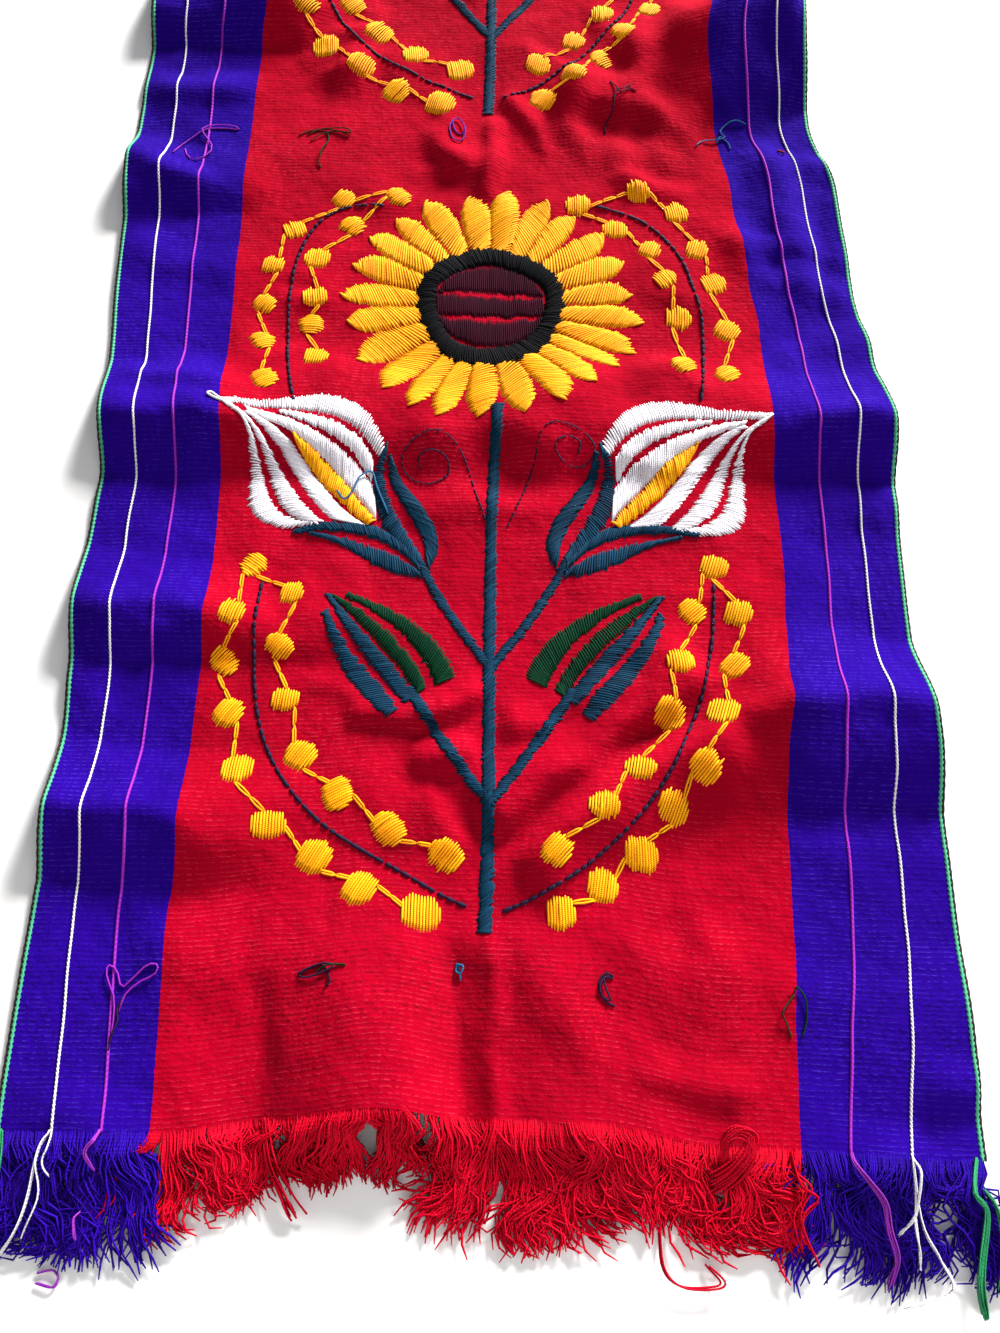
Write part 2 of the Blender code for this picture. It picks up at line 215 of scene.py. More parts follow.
# Creases that the sheet has besides its folds, in millimetres: a ridge along a line, or a trough where
# height is below zero. left and right are the widths on the line's two sides, fade is each soft end.
Crease = namedtuple("Crease", "across along to_across to_along height left right fade")
CREASES = (
    (-210, 235, -118, 232, 2.6, 16, 9, 20),
    (-210, 339, -112, 336, 2.6, 16, 9, 20),
    (-210, 136, -125, 130, 3, 16, 10, 20),
    (125, 186, 212, 188, 3.4, 18, 12, 20),
    (145, 336, 212, 335, 2.6, 16, 10, 20),
    (8, 102, 114, 180, 6.6, 11, 30, 16),
    (-6, 120, 104, 206, 7.4, 32, 10, 16),
    (100, 178, 150, 186, 3, 12, 14, 16),
    (-70, 176, -26, 176, 4.6, 16, 7, 10),
    (-34, 172, 0, 194, 5.2, 14, 7, 10),
    (-40, 152, -2, 164, 4.8, 14, 12, 10),
    (-32, 146, -10, 108, 3.4, 10, 14, 12),
    (2, 176, 34, 172, 4, 16, 10, 10),
    (24, 182, 70, 196, 3, 12, 10, 10),
    (-90, 196, -56, 186, 1.8, 10, 8, 10),
    (0, 90, 0, -20, 3.4, 9, 18, 20),
    (4, 70, 6, -20, 1.4, 10, 8, 20),
    (-106, 104, -100, 60, -1.5, 9, 6, 14),
    (-101, 64, -88, 12, -1.9, 9, 7, 12),
    (-74, 106, -66, 68, -1.3, 8, 6, 12),
    (78, 92, 94, 66, -2, 12, 9, 10),
    (112, 78, 128, 62, -1.6, 10, 8, 7),
    (60, 20, 124, 24, 3.2, 14, 10, 18),
    (176, 30, 206, 24, 4, 16, 14, 12),
    (95, 632, 88, 556, 4.8, 30, 13, 18),
    (82, 570, 136, 508, 5, 26, 16, 20),
    (28, 562, 100, 548, 7.2, 30, 20, 20),
    (6, 566, 40, 508, 3.6, 12, 9, 14),
    (30, 600, 60, 560, 3, 10, 10, 12),
    (60, 500, 120, 486, 2.6, 10, 12, 14),
    (-64, 600, -58, 508, -2, 14, 12, 24),
    (-30, 578, -24, 520, 1.8, 12, 10, 18),
    (2, 548, -4, 478, 4.4, 12, 8, 14),
    (-40, 540, -14, 500, 3, 12, 9, 14),
    (-50, 500, -20, 508, 2.4, 9, 9, 12),
    (80, 376, 112, 352, 2.6, 10, 9, 12),
    (78, 398, 106, 388, -2.2, 8, 8, 10),
    (-116, 376, -82, 392, 2.2, 9, 9, 12),
    (-118, 430, -86, 418, -2.2, 9, 8, 12),
    (40, 318, 110, 306, 2.2, 10, 12, 16),
    (-118, 560, -74, 584, 2.2, 10, 12, 14),
    (-106, 600, -64, 612, 2.6, 10, 11, 14),
    (118, 462, 170, 440, 3.6, 16, 12, 20),
    (130, 452, 206, 428, -2.4, 10, 16, 20),
    (206, 520, 186, 380, 3, 18, 12, 40),
    (-206, 512, -150, 486, 3.4, 12, 12, 16),
    (-206, 566, -120, 560, 3, 18, 12, 20),
    (-206, 655, -100, 640, 6.6, 40, 30, 30),
    (100, 606, 212, 612, 7.6, 30, 30, 20),
    (116, 530, 212, 530, -5, 34, 22, 20),
    (128, 140, 212, 140, -3.6, 18, 16, 16),
    (-212, 598, -104, 590, -4, 18, 20, 24),
    (-200, 372, -130, 356, 2, 8, 10, 14),
    (-150, 300, -128, 262, -1.2, 10, 8, 12),
    (-60, 292, 60, 286, 1.4, 14, 12, 30),
    (70, 238, 130, 246, 1.6, 12, 14, 18),
    (-120, 206, -70, 214, 1.4, 10, 12, 16),
    (-140, 724, -30, 706, 2.4, 14, 12, 30),
    (60, 776, 150, 804, 2.2, 14, 12, 30),
    (-50, 1020, 30, 996, 2.2, 12, 14, 24),
    (90, 1080, 170, 1066, 2.4, 14, 12, 26),
    (-150, 1230, -80, 1252, 2.2, 12, 12, 22),
    (20, 1420, 110, 1436, 2.2, 14, 12, 26),
)
CREASE_WANDER = 0.0016
CREASE_WAVES = 130.0

# Where the flower's stitches draw the cloth in: the flower's middle over the stem's foot, and the ring of
# puckers round it, as the reaches where it starts, is full and ends.
PUCKERED_MIDDLE = (-0.001, 0.3335)
PUCKER_RING = (0.074, 0.090, 0.128)
PUCKER_RING_HEIGHT = 0.0017


def crease_height(row, across, along):
    crease = Crease(*np.array(row) / PER_METRE)
    run_x = crease.to_across - crease.across
    run_y = crease.to_along - crease.along
    length = math.hypot(run_x, run_y)
    x = across - crease.across
    y = along - crease.along
    reach = (x * run_x + y * run_y) / length
    aside = (y * run_x - x * run_y) / length
    aside = aside + CREASE_WANDER * np.sin(reach * CREASE_WAVES + 40.0 * crease.across)
    width = np.where(aside > 0.0, crease.left, crease.right)
    out = np.clip(np.abs(aside) / width, 0.0, 1.0)
    side = 0.3 + 0.3 * np.cos(math.pi * out) + 0.4 * (1.0 - out)
    window = softened(reach / crease.fade) * softened((length - reach) / crease.fade)
    return crease.height * side * window


def pucker_ring(number, across, along):
    x = across - PUCKERED_MIDDLE[0]
    y = along - (STEM_FOOT_ALONG + number * SPRAY_PITCH + PUCKERED_MIDDLE[1])
    reach = np.hypot(x, y)
    turn = np.arctan2(y, x)
    start, full, end = PUCKER_RING
    window = softened((reach - start) / (full - start)) * softened((end - reach) / (end - full))
    waves = np.sin(9.0 * turn + number) + 0.7 * np.sin(14.0 * turn + 2.0 + 3.0 * number)
    return PUCKER_RING_HEIGHT * window * waves


def creases(across, along):
    """The creases, and the puckers round each flower."""
    height = np.zeros_like(across)
    for row in CREASES:
        height = height + crease_height(row, across, along)
    for number in range(SPRAYS):
        height = height + pucker_ring(number, across, along)
    return height


# Soft rumples all over: waves of many lengths that run every way, stronger in some places.
RUMPLES = 16
RUMPLE_LENGTHS = (0.024, 0.085)
RUMPLE_SLOPE = 0.040
CRUMPLED_FROM = 0.455
CRUMPLED_OVER = 0.08
CRUMPLED_MORE = 0.7
RUMPLE_LIFT = 0.0006
PATCH_WAVES = ((7.0, 3.0, 0.4), (-5.0, 6.0, 2.2), (2.0, -9.0, 4.0))


def rumple_waves():
    draw = np.random.default_rng(SEEDS["rumples"])
    length = RUMPLE_LENGTHS[0] * (RUMPLE_LENGTHS[1] / RUMPLE_LENGTHS[0]) ** draw.uniform(0.0, 1.0, RUMPLES)
    heading = draw.uniform(0.0, math.pi, RUMPLES)
    phase = draw.uniform(0.0, FULL_TURN, (RUMPLES, 2))
    slope_share = RUMPLE_SLOPE * draw.uniform(0.5, 1.5, RUMPLES)
    return np.stack([length, heading, phase[:, 0], phase[:, 1], slope_share], axis=1)


RUMPLE_WAVES = rumple_waves()


def puckers(across, along):
    patch = np.zeros_like(across)
    for waves_across, waves_along, phase in PATCH_WAVES:
        patch = patch + np.sin(FULL_TURN * (waves_across * across + waves_along * along) + phase)
    strength = 0.35 + 0.65 * softened(0.5 + 0.35 * patch)
    strength = strength * (1.0 + CRUMPLED_MORE * softened((along - CRUMPLED_FROM) / CRUMPLED_OVER))
    height = np.zeros_like(across)
    for length, heading, phase, bend, steep in RUMPLE_WAVES:
        run = across * math.cos(heading) + along * math.sin(heading)
        aside = along * math.cos(heading) - across * math.sin(heading)
        bent = 1.3 * np.sin(FULL_TURN * aside / (2.3 * length) + bend)
        angle = FULL_TURN * run / length + phase + bent
        height = height + steep * length / FULL_TURN * np.sin(angle)
    return RUMPLE_LIFT + strength * height


def cloth_height(across, along):
    """The height of the sheet's own underside: the folds with their creases and puckers."""
    height = underside(across, along) + creases(across, along) + puckers(across, along)
    return 0.5 * (height + np.sqrt(height * height + LANDING))


def cloth_shift():
    """How the cloth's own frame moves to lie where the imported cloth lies."""
    along = np.linspace(0.0, CLOTH_LENGTH, 1200)
    left = laid(np.full_like(along, -HALF_WIDTH), along)[0].min()
    right = laid(np.full_like(along, HALF_WIDTH), along)[0].max()
    across = np.linspace(-HALF_WIDTH, HALF_WIDTH, 400)
    near = laid(across, np.zeros_like(across))[1].min()
    far = laid(across, np.full_like(across, CLOTH_LENGTH))[1].max()
    middle = 0.5 * (cloth_low + cloth_high)
    return middle.x - 0.5 * (left + right), middle.y - 0.5 * (near + far)


SHIFT_X, SHIFT_Y = cloth_shift()


def upper_face(across, along):
    return cloth_height(across, along) + SHEET_LIFT + SHEET_THICKNESS


def on_cloth(across, along, lift):
    """World points at a lift over the cloth's upper face."""
    x, y = laid(across, along)
    return np.stack([x + SHIFT_X, y + SHIFT_Y, upper_face(across, along) + lift], axis=-1)


def link_mesh(name, points, faces, material, uv=None, uv_name="weave"):
    """A mesh object out of arrays. faces is (n, corners); uv has one row for each face corner."""
    mesh = bpy.data.meshes.new(name)
    count, corners = faces.shape
    mesh.vertices.add(len(points))
    mesh.vertices.foreach_set("co", np.asarray(points, np.float32).ravel())
    mesh.loops.add(count * corners)
    mesh.loops.foreach_set("vertex_index", faces.astype(np.int32).ravel())
    mesh.polygons.add(count)
    mesh.polygons.foreach_set("loop_start", np.arange(0, count * corners, corners, dtype=np.int32))
    mesh.update(calc_edges=True)
    mesh.polygons.foreach_set("use_smooth", np.ones(count, bool))
    if uv is not None:
        layer = mesh.uv_layers.new(name=uv_name)
        layer.data.foreach_set("uv", np.asarray(uv, np.float32).ravel())
    mesh.materials.append(material)
    mesh.validate()
    piece = bpy.data.objects.new(name, mesh)
    bpy.context.scene.collection.objects.link(piece)
    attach(piece, "root")
    return piece


# Materials

class Value:
    """A value on its way through a material. Arithmetic on it adds nodes."""

    def __init__(self, nodes, socket):
        self.nodes = nodes
        self.socket = socket

    def __add__(self, other):
        return self.nodes.math("ADD", self, other)

    def __sub__(self, other):
        return self.nodes.math("SUBTRACT", self, other)

    def __rsub__(self, other):
        return self.nodes.math("SUBTRACT", other, self)

    def __mul__(self, other):
        return self.nodes.math("MULTIPLY", self, other)

    def __truediv__(self, other):
        return self.nodes.math("DIVIDE", self, other)

    def __pow__(self, other):
        return self.nodes.math("POWER", self, other)


class Nodes:
    """One material, and short names for the nodes in it."""

    def __init__(self, name):
        self.material = bpy.data.materials.new(name)
        self.material.use_nodes = True
        self.tree = self.material.node_tree
        self.shader = self.tree.nodes["Principled BSDF"]

    def feed(self, node, values):
        for name, value in values.items():
            if isinstance(value, Value):
                self.tree.links.new(value.socket, node.inputs[name])
            else:
                node.inputs[name].default_value = value

    def add(self, kind, output, inputs, **settings):
        node = self.tree.nodes.new("ShaderNode" + kind)
        for name, value in settings.items():
            setattr(node, name, value)
        self.feed(node, inputs)
        return Value(self, node.outputs[output])

    def math(self, operation, first, second=0.0, clamp=False):
        return self.add("Math", 0, {0: first, 1: second}, operation=operation, use_clamp=clamp)

    def uv(self, name):
        place = self.add("UVMap", 0, {}, uv_map=name)
        return [self.add("SeparateXYZ", part, {0: place}) for part in (0, 1)]

    def vector(self, x, y):
        return self.add("CombineXYZ", 0, {0: x, 1: y})

    def object_place(self):
        return self.add("TexCoord", "Object", {})

    def noise(self, place, scale, detail=2.0, roughness=0.5):
        inputs = {"Vector": place, "Scale": scale, "Detail": detail, "Roughness": roughness}
        return self.add("TexNoise", "Fac", inputs)

    def white_noise(self, value):
        return self.add("TexWhiteNoise", "Value", {"W": value}, noise_dimensions="1D")

    def mix(self, share, first, second):
        return self.add("Mix", "Result", {"Factor": share, "A": first, "B": second}, data_type="RGBA")

    def remap(self, value, low, high, to_low=0.0, to_high=1.0):
        inputs = {"Value": value, "From Min": low, "From Max": high, "To Min": to_low, "To Max": to_high}
        return self.add("MapRange", "Result", inputs)

    def wave(self, function, angle):
        """The sine or cosine of an angle, from 0 to 1."""
        return self.remap(self.math(function, angle), -1.0, 1.0)

    def bump(self, height, distance, strength=1.0):
        return self.add("Bump", "Normal", {"Height": height, "Distance": distance, "Strength": strength})

    def done(self, colour, roughness, specular, **more):
        values = {"Base Color": colour, "Roughness": roughness, "Specular IOR Level": specular}
        self.feed(self.shader, values)
        self.feed(self.shader, {name.replace("_", " "): value for name, value in more.items()})
        return self.material


def shade(colour, factor=1.0):
    """A colour read as 0 to 255 on a screen, as the shader's linear numbers."""
    parts = []
    for part in colour:
        share = part / 255.0
        share = share / 12.92 if share <= 0.04045 else ((share + 0.055) / 1.055) ** 2.4
        parts.append(min(1.0, share * factor))
    return (*parts, 1.0)


# The _GLINT colours are painted highlights on the rib crests. The _DEEP colours serve both the weave's
# darker random patches and painted shade in its grooves and gaps.
RED = (163, 0, 30)
RED_GLINT = (196, 44, 64)
RED_DEEP = (120, 0, 18)
BLUE = (36, 2, 130)
BLUE_GLINT = (62, 42, 166)
BLUE_DEEP = (22, 0, 88)
# The fringe's red and blue warp yarns are painted lighter than the cloth's own red and blue, as painted
# light for the light the loose yarn catches.
YARN_RED_PAINTED_LIGHTER = (214, 2, 38)
YARN_BLUE_PAINTED_LIGHTER = (46, 4, 160)
MAGENTA = (160, 38, 176)
WHITE = (240, 238, 241)
YELLOW = (251, 182, 10)
ORANGE = (247, 139, 4)
TEAL = (6, 64, 92)
GREEN = (0, 54, 30)
BLACK = (8, 9, 12)
MAROON = (56, 4, 26)
PLUM = (38, 19, 54)
MINT = (84, 172, 132)
SELVAGE_DARK = (34, 40, 30)
FRINGE_GREEN = (48, 168, 104)

# The weave: how far its ribs drift, how often glints and the gaps' painted shade come along a rib, how dark
# the painted shade in its grooves is and how high its ribs and its crumples stand.
RIB_DRIFT = 14.0
DASHES_PER_METRE = 430.0
GAPS_PER_METRE = 420.0
GROOVE_SHADE = 0.20
WEAVE_RELIEF = 0.00008
CRUMPLE_RELIEF = 0.0027


def open_gap_shade(nodes, across, along, rib, rib_turn):
    """Painted shade where the weave is open enough to show dark grooves: mostly in the plain band under each
    spray.
    """
    repeat = (along - (OPEN_BAND_MIDDLE - SPRAY_PITCH / 2.0)) / SPRAY_PITCH
    from_band = nodes.math("ABSOLUTE", nodes.math("FRACT", repeat) - 0.5)
    half = OPEN_BAND_HALF_WIDTH / SPRAY_PITCH
    open_band = nodes.remap(from_band, half, 0.5 * half, 0.12, 1.0)
    gap_shade = nodes.noise(nodes.vector(across * GAPS_PER_METRE, rib_turn * 3.77), 1.0, 1.0)
    return nodes.remap(gap_shade, 0.50, 0.62) * (1.0 - rib) ** 3.0 * open_band * 0.75


def woven_material():
    nodes = Nodes("woven_cloth_weave")
    across_share, along_share = nodes.uv("weave")
    across = (across_share - 0.5) * CLOTH_WIDTH
    along = along_share * CLOTH_LENGTH
    place = nodes.vector(across, along)

    drift = nodes.noise(nodes.vector(across * 16.0, along * 70.0), 1.0)
    rib_angle = along * (FULL_TURN / RIB_PITCH) + drift * RIB_DRIFT
    rib = nodes.wave("COSINE", rib_angle)
    rib_turn = nodes.math("FLOOR", rib_angle / FULL_TURN)
    yarn = nodes.wave("COSINE", across * (FULL_TURN / YARN_PITCH) + rib_turn * math.pi)

    jag = (nodes.noise(place, 700.0, 1.0) - 0.5) * 0.0009
    border = nodes.math("GREATER_THAN", nodes.math("ABSOLUTE", across) + jag, RED_HALF_WIDTH)

    dash = nodes.noise(nodes.vector(across * DASHES_PER_METRE, rib_turn * 7.31), 1.0)
    patch = nodes.remap(nodes.noise(place, 22.0, 3.0), 0.35, 0.62, 0.15, 0.85)
    glint = nodes.math("MULTIPLY", rib ** 9.0 * nodes.remap(dash, 0.48, 0.62), patch, clamp=True)
    gap_shade = open_gap_shade(nodes, across, along, rib, rib_turn)
    faded_patch = nodes.remap(nodes.noise(place, 9.0, 5.0, 0.62), 0.38, 0.66, 0.5, 0.0)
    # Painted shade in the grooves between the ribs. Together with the gaps' painted shade and the random
    # faded patches, it darkens the weave towards the deep colour.
    groove_shade = (1.0 - rib) * GROOVE_SHADE
    dark_tone_and_shade = nodes.math("MAXIMUM", faded_patch, nodes.math("MAXIMUM", groove_shade, gap_shade))
    warps = []
    for plain, dark, light in ((RED, RED_DEEP, RED_GLINT), (BLUE, BLUE_DEEP, BLUE_GLINT)):
        warps.append(nodes.mix(glint, nodes.mix(dark_tone_and_shade, shade(plain), shade(dark)), shade(light)))
    # Painted shade: the open gaps darken further towards black.
    colour = nodes.mix(gap_shade * 0.45, nodes.mix(border, *warps), shade(BLACK))

    weave = nodes.bump(rib * 0.7 + yarn * 0.25 + nodes.noise(place, 1900.0) * 0.3, WEAVE_RELIEF)
    crumple = {"Height": nodes.noise(place, 75.0, 4.0, 0.6), "Distance": CRUMPLE_RELIEF}
    normal = nodes.add("Bump", "Normal", {**crumple, "Strength": 0.6, "Normal": weave})
    return nodes.done(colour, 0.95, 0.03, Normal=normal)


def thread_material(name, colour, second, spread, sheen=0.0, roughness=0.6, twist=0.0009,
                    specular=0.12, rim=0.6):
    """Embroidery or fringe yarn. U counts threads and goes round each, V is its length in metres.

    A thread's tone lies between colour and second, by spread. rim sets the painted shade on its low sides,
    and the twist's grooves get painted shade too, both towards darker copies of second.
    """
    nodes = Nodes(name)
    count, length = nodes.uv("thread")
    own = nodes.white_noise(nodes.math("FLOOR", count))
    around = nodes.math("FRACT", count)
    place = nodes.object_place()
    patch = nodes.remap(nodes.noise(place, 45.0), 0.3, 0.7)
    tone = own * 0.65 + patch * 0.35
    ply = nodes.wave("SINE", length * (FULL_TURN / twist) + around * (4.0 * math.pi))
    mixed = nodes.mix(tone * spread, shade(colour), shade(second))
    # Painted shade in the grooves between the plies, towards a darker copy of the second colour.
    base = nodes.mix((1.0 - ply) * 0.16, mixed, shade(second, 0.7))
    # Painted shade on the thread's low sides, by rim, towards a dark copy of the second colour.
    from_top = nodes.math("MINIMUM", around, 0.8 - around)
    low = nodes.remap(from_top, 0.09, 0.2) * rim
    base = nodes.mix(low, base, shade(second, 0.34))
    normal = nodes.bump(ply * 0.7 + nodes.noise(place, 2600.0) * 0.5, 0.00016)
    tint = (*(0.1 + 0.9 * part for part in shade(colour)[:3]), 1.0)
    return nodes.done(base, roughness, specular, Normal=normal, Sheen_Weight=0.4 * sheen,
                      Sheen_Tint=tint, Sheen_Roughness=0.4)


# The cloth

def cloth_columns():
    share = np.linspace(0.0, 1.0, COLUMNS_PER_SIDE + 1)
    eased = (1.0 - COLUMN_CROWDING) * share + COLUMN_CROWDING * share**2
    left = CREASE_ACROSS - (HALF_WIDTH + CREASE_ACROSS) * eased
    right = CREASE_ACROSS + (HALF_WIDTH - CREASE_ACROSS) * eased
    return np.concatenate([left[::-1], right[1:]])


def cloth_rows():
    busy = np.linspace(0.0, BUSY_LENGTH, BUSY_ROWS + 1)
    calm = np.linspace(BUSY_LENGTH, CLOTH_LENGTH, CALM_ROWS + 1)
    return np.concatenate([busy, calm[1:]])


def crisp_rim(mesh, rim, layer):
    """Marks the sheet's edges as sharp, so that the faces stay flat up to the hem."""
    on_rim = np.zeros(len(mesh.vertices), int)
    on_rim[rim] = 1
    on_rim[rim + layer] = 2
    ends = np.empty(2 * len(mesh.edges), np.int32)
    mesh.edges.foreach_get("vertices", ends)
    ends = on_rim[ends].reshape(-1, 2)
    sharp = (ends[:, 0] == ends[:, 1]) & (ends[:, 0] > 0)
    mark = mesh.attributes.new("sharp_edge", "BOOLEAN", "EDGE")
    mark.data.foreach_set("value", sharp)


def woven_cloth():
    """The sheet: an upper and an under face on the folds, joined round the rim."""
    columns, rows = cloth_columns(), cloth_rows()
    across, along = np.meshgrid(columns, rows)
    upper = on_cloth(across, along, 0.0)
    under = upper.copy()
    from_hem = np.minimum(along, CLOTH_LENGTH - along)
    under[..., 2] -= SHEET_THICKNESS * (HEM_SHARE + (1.0 - HEM_SHARE) * softened(from_hem / HEM_TAPER))
    wide, long = len(columns), len(rows)
    layer = wide * long
    corner = (np.arange(long - 1)[:, None] * wide + np.arange(wide - 1)[None, :]).ravel()
    top = np.stack([corner, corner + 1, corner + wide + 1, corner + wide], axis=1)
    bottom = top[:, ::-1] + layer
    rim = np.concatenate([
        np.arange(wide),
        np.arange(1, long) * wide + wide - 1,
        (long - 1) * wide + np.arange(wide - 2, -1, -1),
        np.arange(long - 2, 0, -1) * wide,
    ])
    after = np.roll(rim, -1)
    wall = np.stack([rim + layer, after + layer, after, rim], axis=1)
    faces = np.concatenate([top, bottom, wall])
    flat = np.stack([across / CLOTH_WIDTH + 0.5, along / CLOTH_LENGTH], axis=-1).reshape(-1, 2)
    uv = np.concatenate([flat, flat])[faces.ravel()]
    points = np.concatenate([upper.reshape(-1, 3), under.reshape(-1, 3)])
    edge_a = upper[1:, :-1] - upper[:-1, :-1]
    edge_b = upper[:-1, 1:] - upper[:-1, :-1]
    area = float(np.linalg.norm(np.cross(edge_a, edge_b), axis=-1).sum())
    piece = link_mesh("woven_cloth_sheet", points, faces, woven_material(), uv)
    crisp_rim(piece.data, rim, layer)
    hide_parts("woven_cloth")
    return piece, area


# Threads: every stitch, cord and fringe yarn is a thin tube along a path.

STITCH_SIDES = 4


def summed(steps):
    """How far each row has come at each step, from 0."""
    return np.pad(np.cumsum(steps, axis=1), ((0, 0), (1, 0)))


def unit(vectors, small):
    return vectors / (np.linalg.norm(vectors, axis=-1, keepdims=True) + small)


def tube_points(paths, radii, flatness, sides):
    ahead = unit(np.gradient(paths, axis=1), 1e-12)
    beside = unit(np.cross(ahead, (0.0, 0.0, 1.0)), 1e-9)
    up = np.cross(beside, ahead)
    angle = FULL_TURN * np.arange(sides) / sides + 0.5 * math.pi
    ring = (np.cos(angle)[:, None] * beside[:, :, None, :]
            + flatness * np.sin(angle)[:, None] * up[:, :, None, :])
    return paths[:, :, None, :] + radii[:, :, None, None] * ring


def tube_uv(paths, thread, sides):
    """Places on the tubes: U is the tube's own number and the share of the way round it, V its length."""
    length = summed(np.linalg.norm(np.diff(paths, axis=1), axis=-1))
    around = thread[:, None, None] + np.arange(sides + 1) / (sides + 1.0)
    around, length = np.broadcast_arrays(around, length[:, :, None])
    return np.stack([around, length], axis=-1)


def corners(grid, beyond):
    """Each quad's four corners, from what its own corner and the one beside it hold at every step."""
    return np.stack([grid[:, :-1], beyond[:, :-1], beyond[:, 1:], grid[:, 1:]], axis=3)


class Tubes:
    """Tubes of one colour. Paths in one batch have the same number of points."""

    def __init__(self):
        self.batches = []

    def add(self, paths, radii, flatness=1.0):
        """paths is (tubes, points, 3) in the world, radii (tubes, points)."""
        if len(paths):
            self.batches.append((np.asarray(paths, float), np.asarray(radii, float), flatness))

    def build(self, name, material, sides=STITCH_SIDES):
        points, quads, uvs, first, threads = [], [], [], 0, 0
        for paths, radii, flatness in self.batches:
            count, steps, _ = paths.shape
            made = tube_points(paths, radii, flatness, sides)
            corner = first + np.arange(count * steps * sides).reshape(count, steps, sides)
            thread = threads + np.arange(count)
            grid = tube_uv(paths, thread, sides)
            points.append(made.reshape(-1, 3))
            quads.append(corners(corner, np.roll(corner, -1, axis=2)).reshape(-1, 4))
            uvs.append(corners(grid[:, :, :-1], grid[:, :, 1:]).reshape(-1, 2))
            if sides == 4:
                cap = np.stack([thread + 0.5, np.zeros(count)], axis=1)
                quads.extend([corner[:, 0, ::-1], corner[:, -1]])
                uvs.extend([np.repeat(cap, 4, axis=0)] * 2)
            first += corner.size
            threads += count
        return link_mesh(name, np.concatenate(points), np.concatenate(quads), material,
                         np.concatenate(uvs), "thread")


# Embroidery. A motif's places are in millimetres, x from the spray's middle and y up from the stem's foot.

# How a stitch rises and narrows along its length, for long stitches and for short ones.
LONG_STITCH = (np.array([0.0, 0.22, 0.5, 0.78, 1.0]), np.array([-0.45, 0.72, 1.0, 0.72, -0.45]),
               np.array([0.55, 1.0, 1.0, 1.0, 0.55]))
SHORT_STITCH = (np.array([0.0, 0.25, 0.75, 1.0]), np.array([-0.45, 0.9, 0.9, -0.45]),
                np.array([0.5, 1.0, 1.0, 0.5]))
SHORT_BELOW = 10.0
SATIN_SPACING = 1.28
SATIN_RADIUS = 0.64
SATIN_FLATNESS = 0.462
SHORTEST_STITCH = 0.9
# A stitch's height over the cloth where it isn't raised, as a share of its radius.
STITCH_LIFT = 0.25
# How far a stitch's ends run on, how much that varies, and how much its height and width vary.
END_REACH = 0.35
END_JITTER = 0.50
RISE_JITTER = 0.10
WIDTH_JITTER = 0.07


class Spray:
    """One repeat of the embroidery: its place on the cloth and its own small irregularities."""

    def __init__(self, number):
        self.foot = STEM_FOOT_ALONG + number * SPRAY_PITCH
        self.draw = np.random.default_rng(SEEDS["sprays"] + number)

    def put(self, x, y, lift):
        """World points for motif places and lifts in millimetres."""
        return on_cloth(np.asarray(x) * MM, self.foot + np.asarray(y) * MM, np.asarray(lift) * MM)

    def stitches(self, tubes, starts, ends, rise, radius=SATIN_RADIUS, bow=None):
        """Stitches from starts to ends, raised in the middle and bent aside by bow."""
        starts, ends = np.asarray(starts, float), np.asarray(ends, float)
        reach = np.linalg.norm(ends - starts, axis=1)
        keep = reach > SHORTEST_STITCH
        starts, ends, reach = starts[keep], ends[keep], reach[keep]
        if not len(starts):
            return
        rise = np.broadcast_to(rise, keep.shape)[keep]
        shares, lifts, taper = SHORT_STITCH if reach.max() < SHORT_BELOW else LONG_STITCH
        direction = (ends - starts) / reach[:, None]
        starts = starts - direction * self.draw.normal(END_REACH, END_JITTER, (len(starts), 1))
        ends = ends + direction * self.draw.normal(END_REACH, END_JITTER, (len(ends), 1))
        middle = starts[:, None, :] + shares[None, :, None] * (ends - starts)[:, None, :]
        if bow is not None:
            across = np.stack([-direction[:, 1], direction[:, 0]], axis=1)
            arch = 4.0 * shares * (1.0 - shares)
            middle = middle + bow * arch[None, :, None] * across[:, None, :]
        own = rise * (1.0 + self.draw.normal(0.0, RISE_JITTER, len(starts)))
        lift = own[:, None] * lifts[None, :] + STITCH_LIFT * radius
        width = radius * (1.0 + self.draw.normal(0.0, WIDTH_JITTER, len(starts)))
        paths = self.put(middle[..., 0], middle[..., 1], lift)
        tubes.add(paths, (width[:, None] * taper[None, :]) * MM, SATIN_FLATNESS)


def bezier(points, share):
    """Places along a Bezier curve."""
    level = np.repeat(np.array(points, float)[None, :, :], len(share), axis=0)
    share = np.asarray(share, float)[:, None, None]
    while level.shape[1] > 1:
        level = level[:, :-1] * (1.0 - share) + level[:, 1:] * share
    return level[:, 0, :]


def through(points, steps):
    """A smooth path through each of the points."""
    points = np.array(points, float)
    padded = np.concatenate([2.0 * points[:1] - points[1:2], points, 2.0 * points[-1:] - points[-2:-1]])
    share = np.linspace(0.0, len(points) - 1.0001, steps)
    first = share.astype(int)
    rest = (share - first)[:, None]
    before, here, after, beyond = (padded[first + step] for step in range(4))
    return 0.5 * (2.0 * here + (after - before) * rest
                  + (2.0 * before - 5.0 * here + 4.0 * after - beyond) * rest**2
                  + (3.0 * here - before - 3.0 * after + beyond) * rest**3)


def mirrored(points, side):
    points = np.array(points, float)
    points[..., 0] *= side
    return points


def along_path(points):
    """How far along a path each of its points is."""
    return np.concatenate([[0.0], np.cumsum(np.linalg.norm(np.diff(points, axis=0), axis=1))])


def at_length(points, length, place):
    """Points at the places asked for on a path whose points lie at these lengths."""
    return np.stack([np.interp(place, length, points[:, part]) for part in (0, 1)], axis=-1)


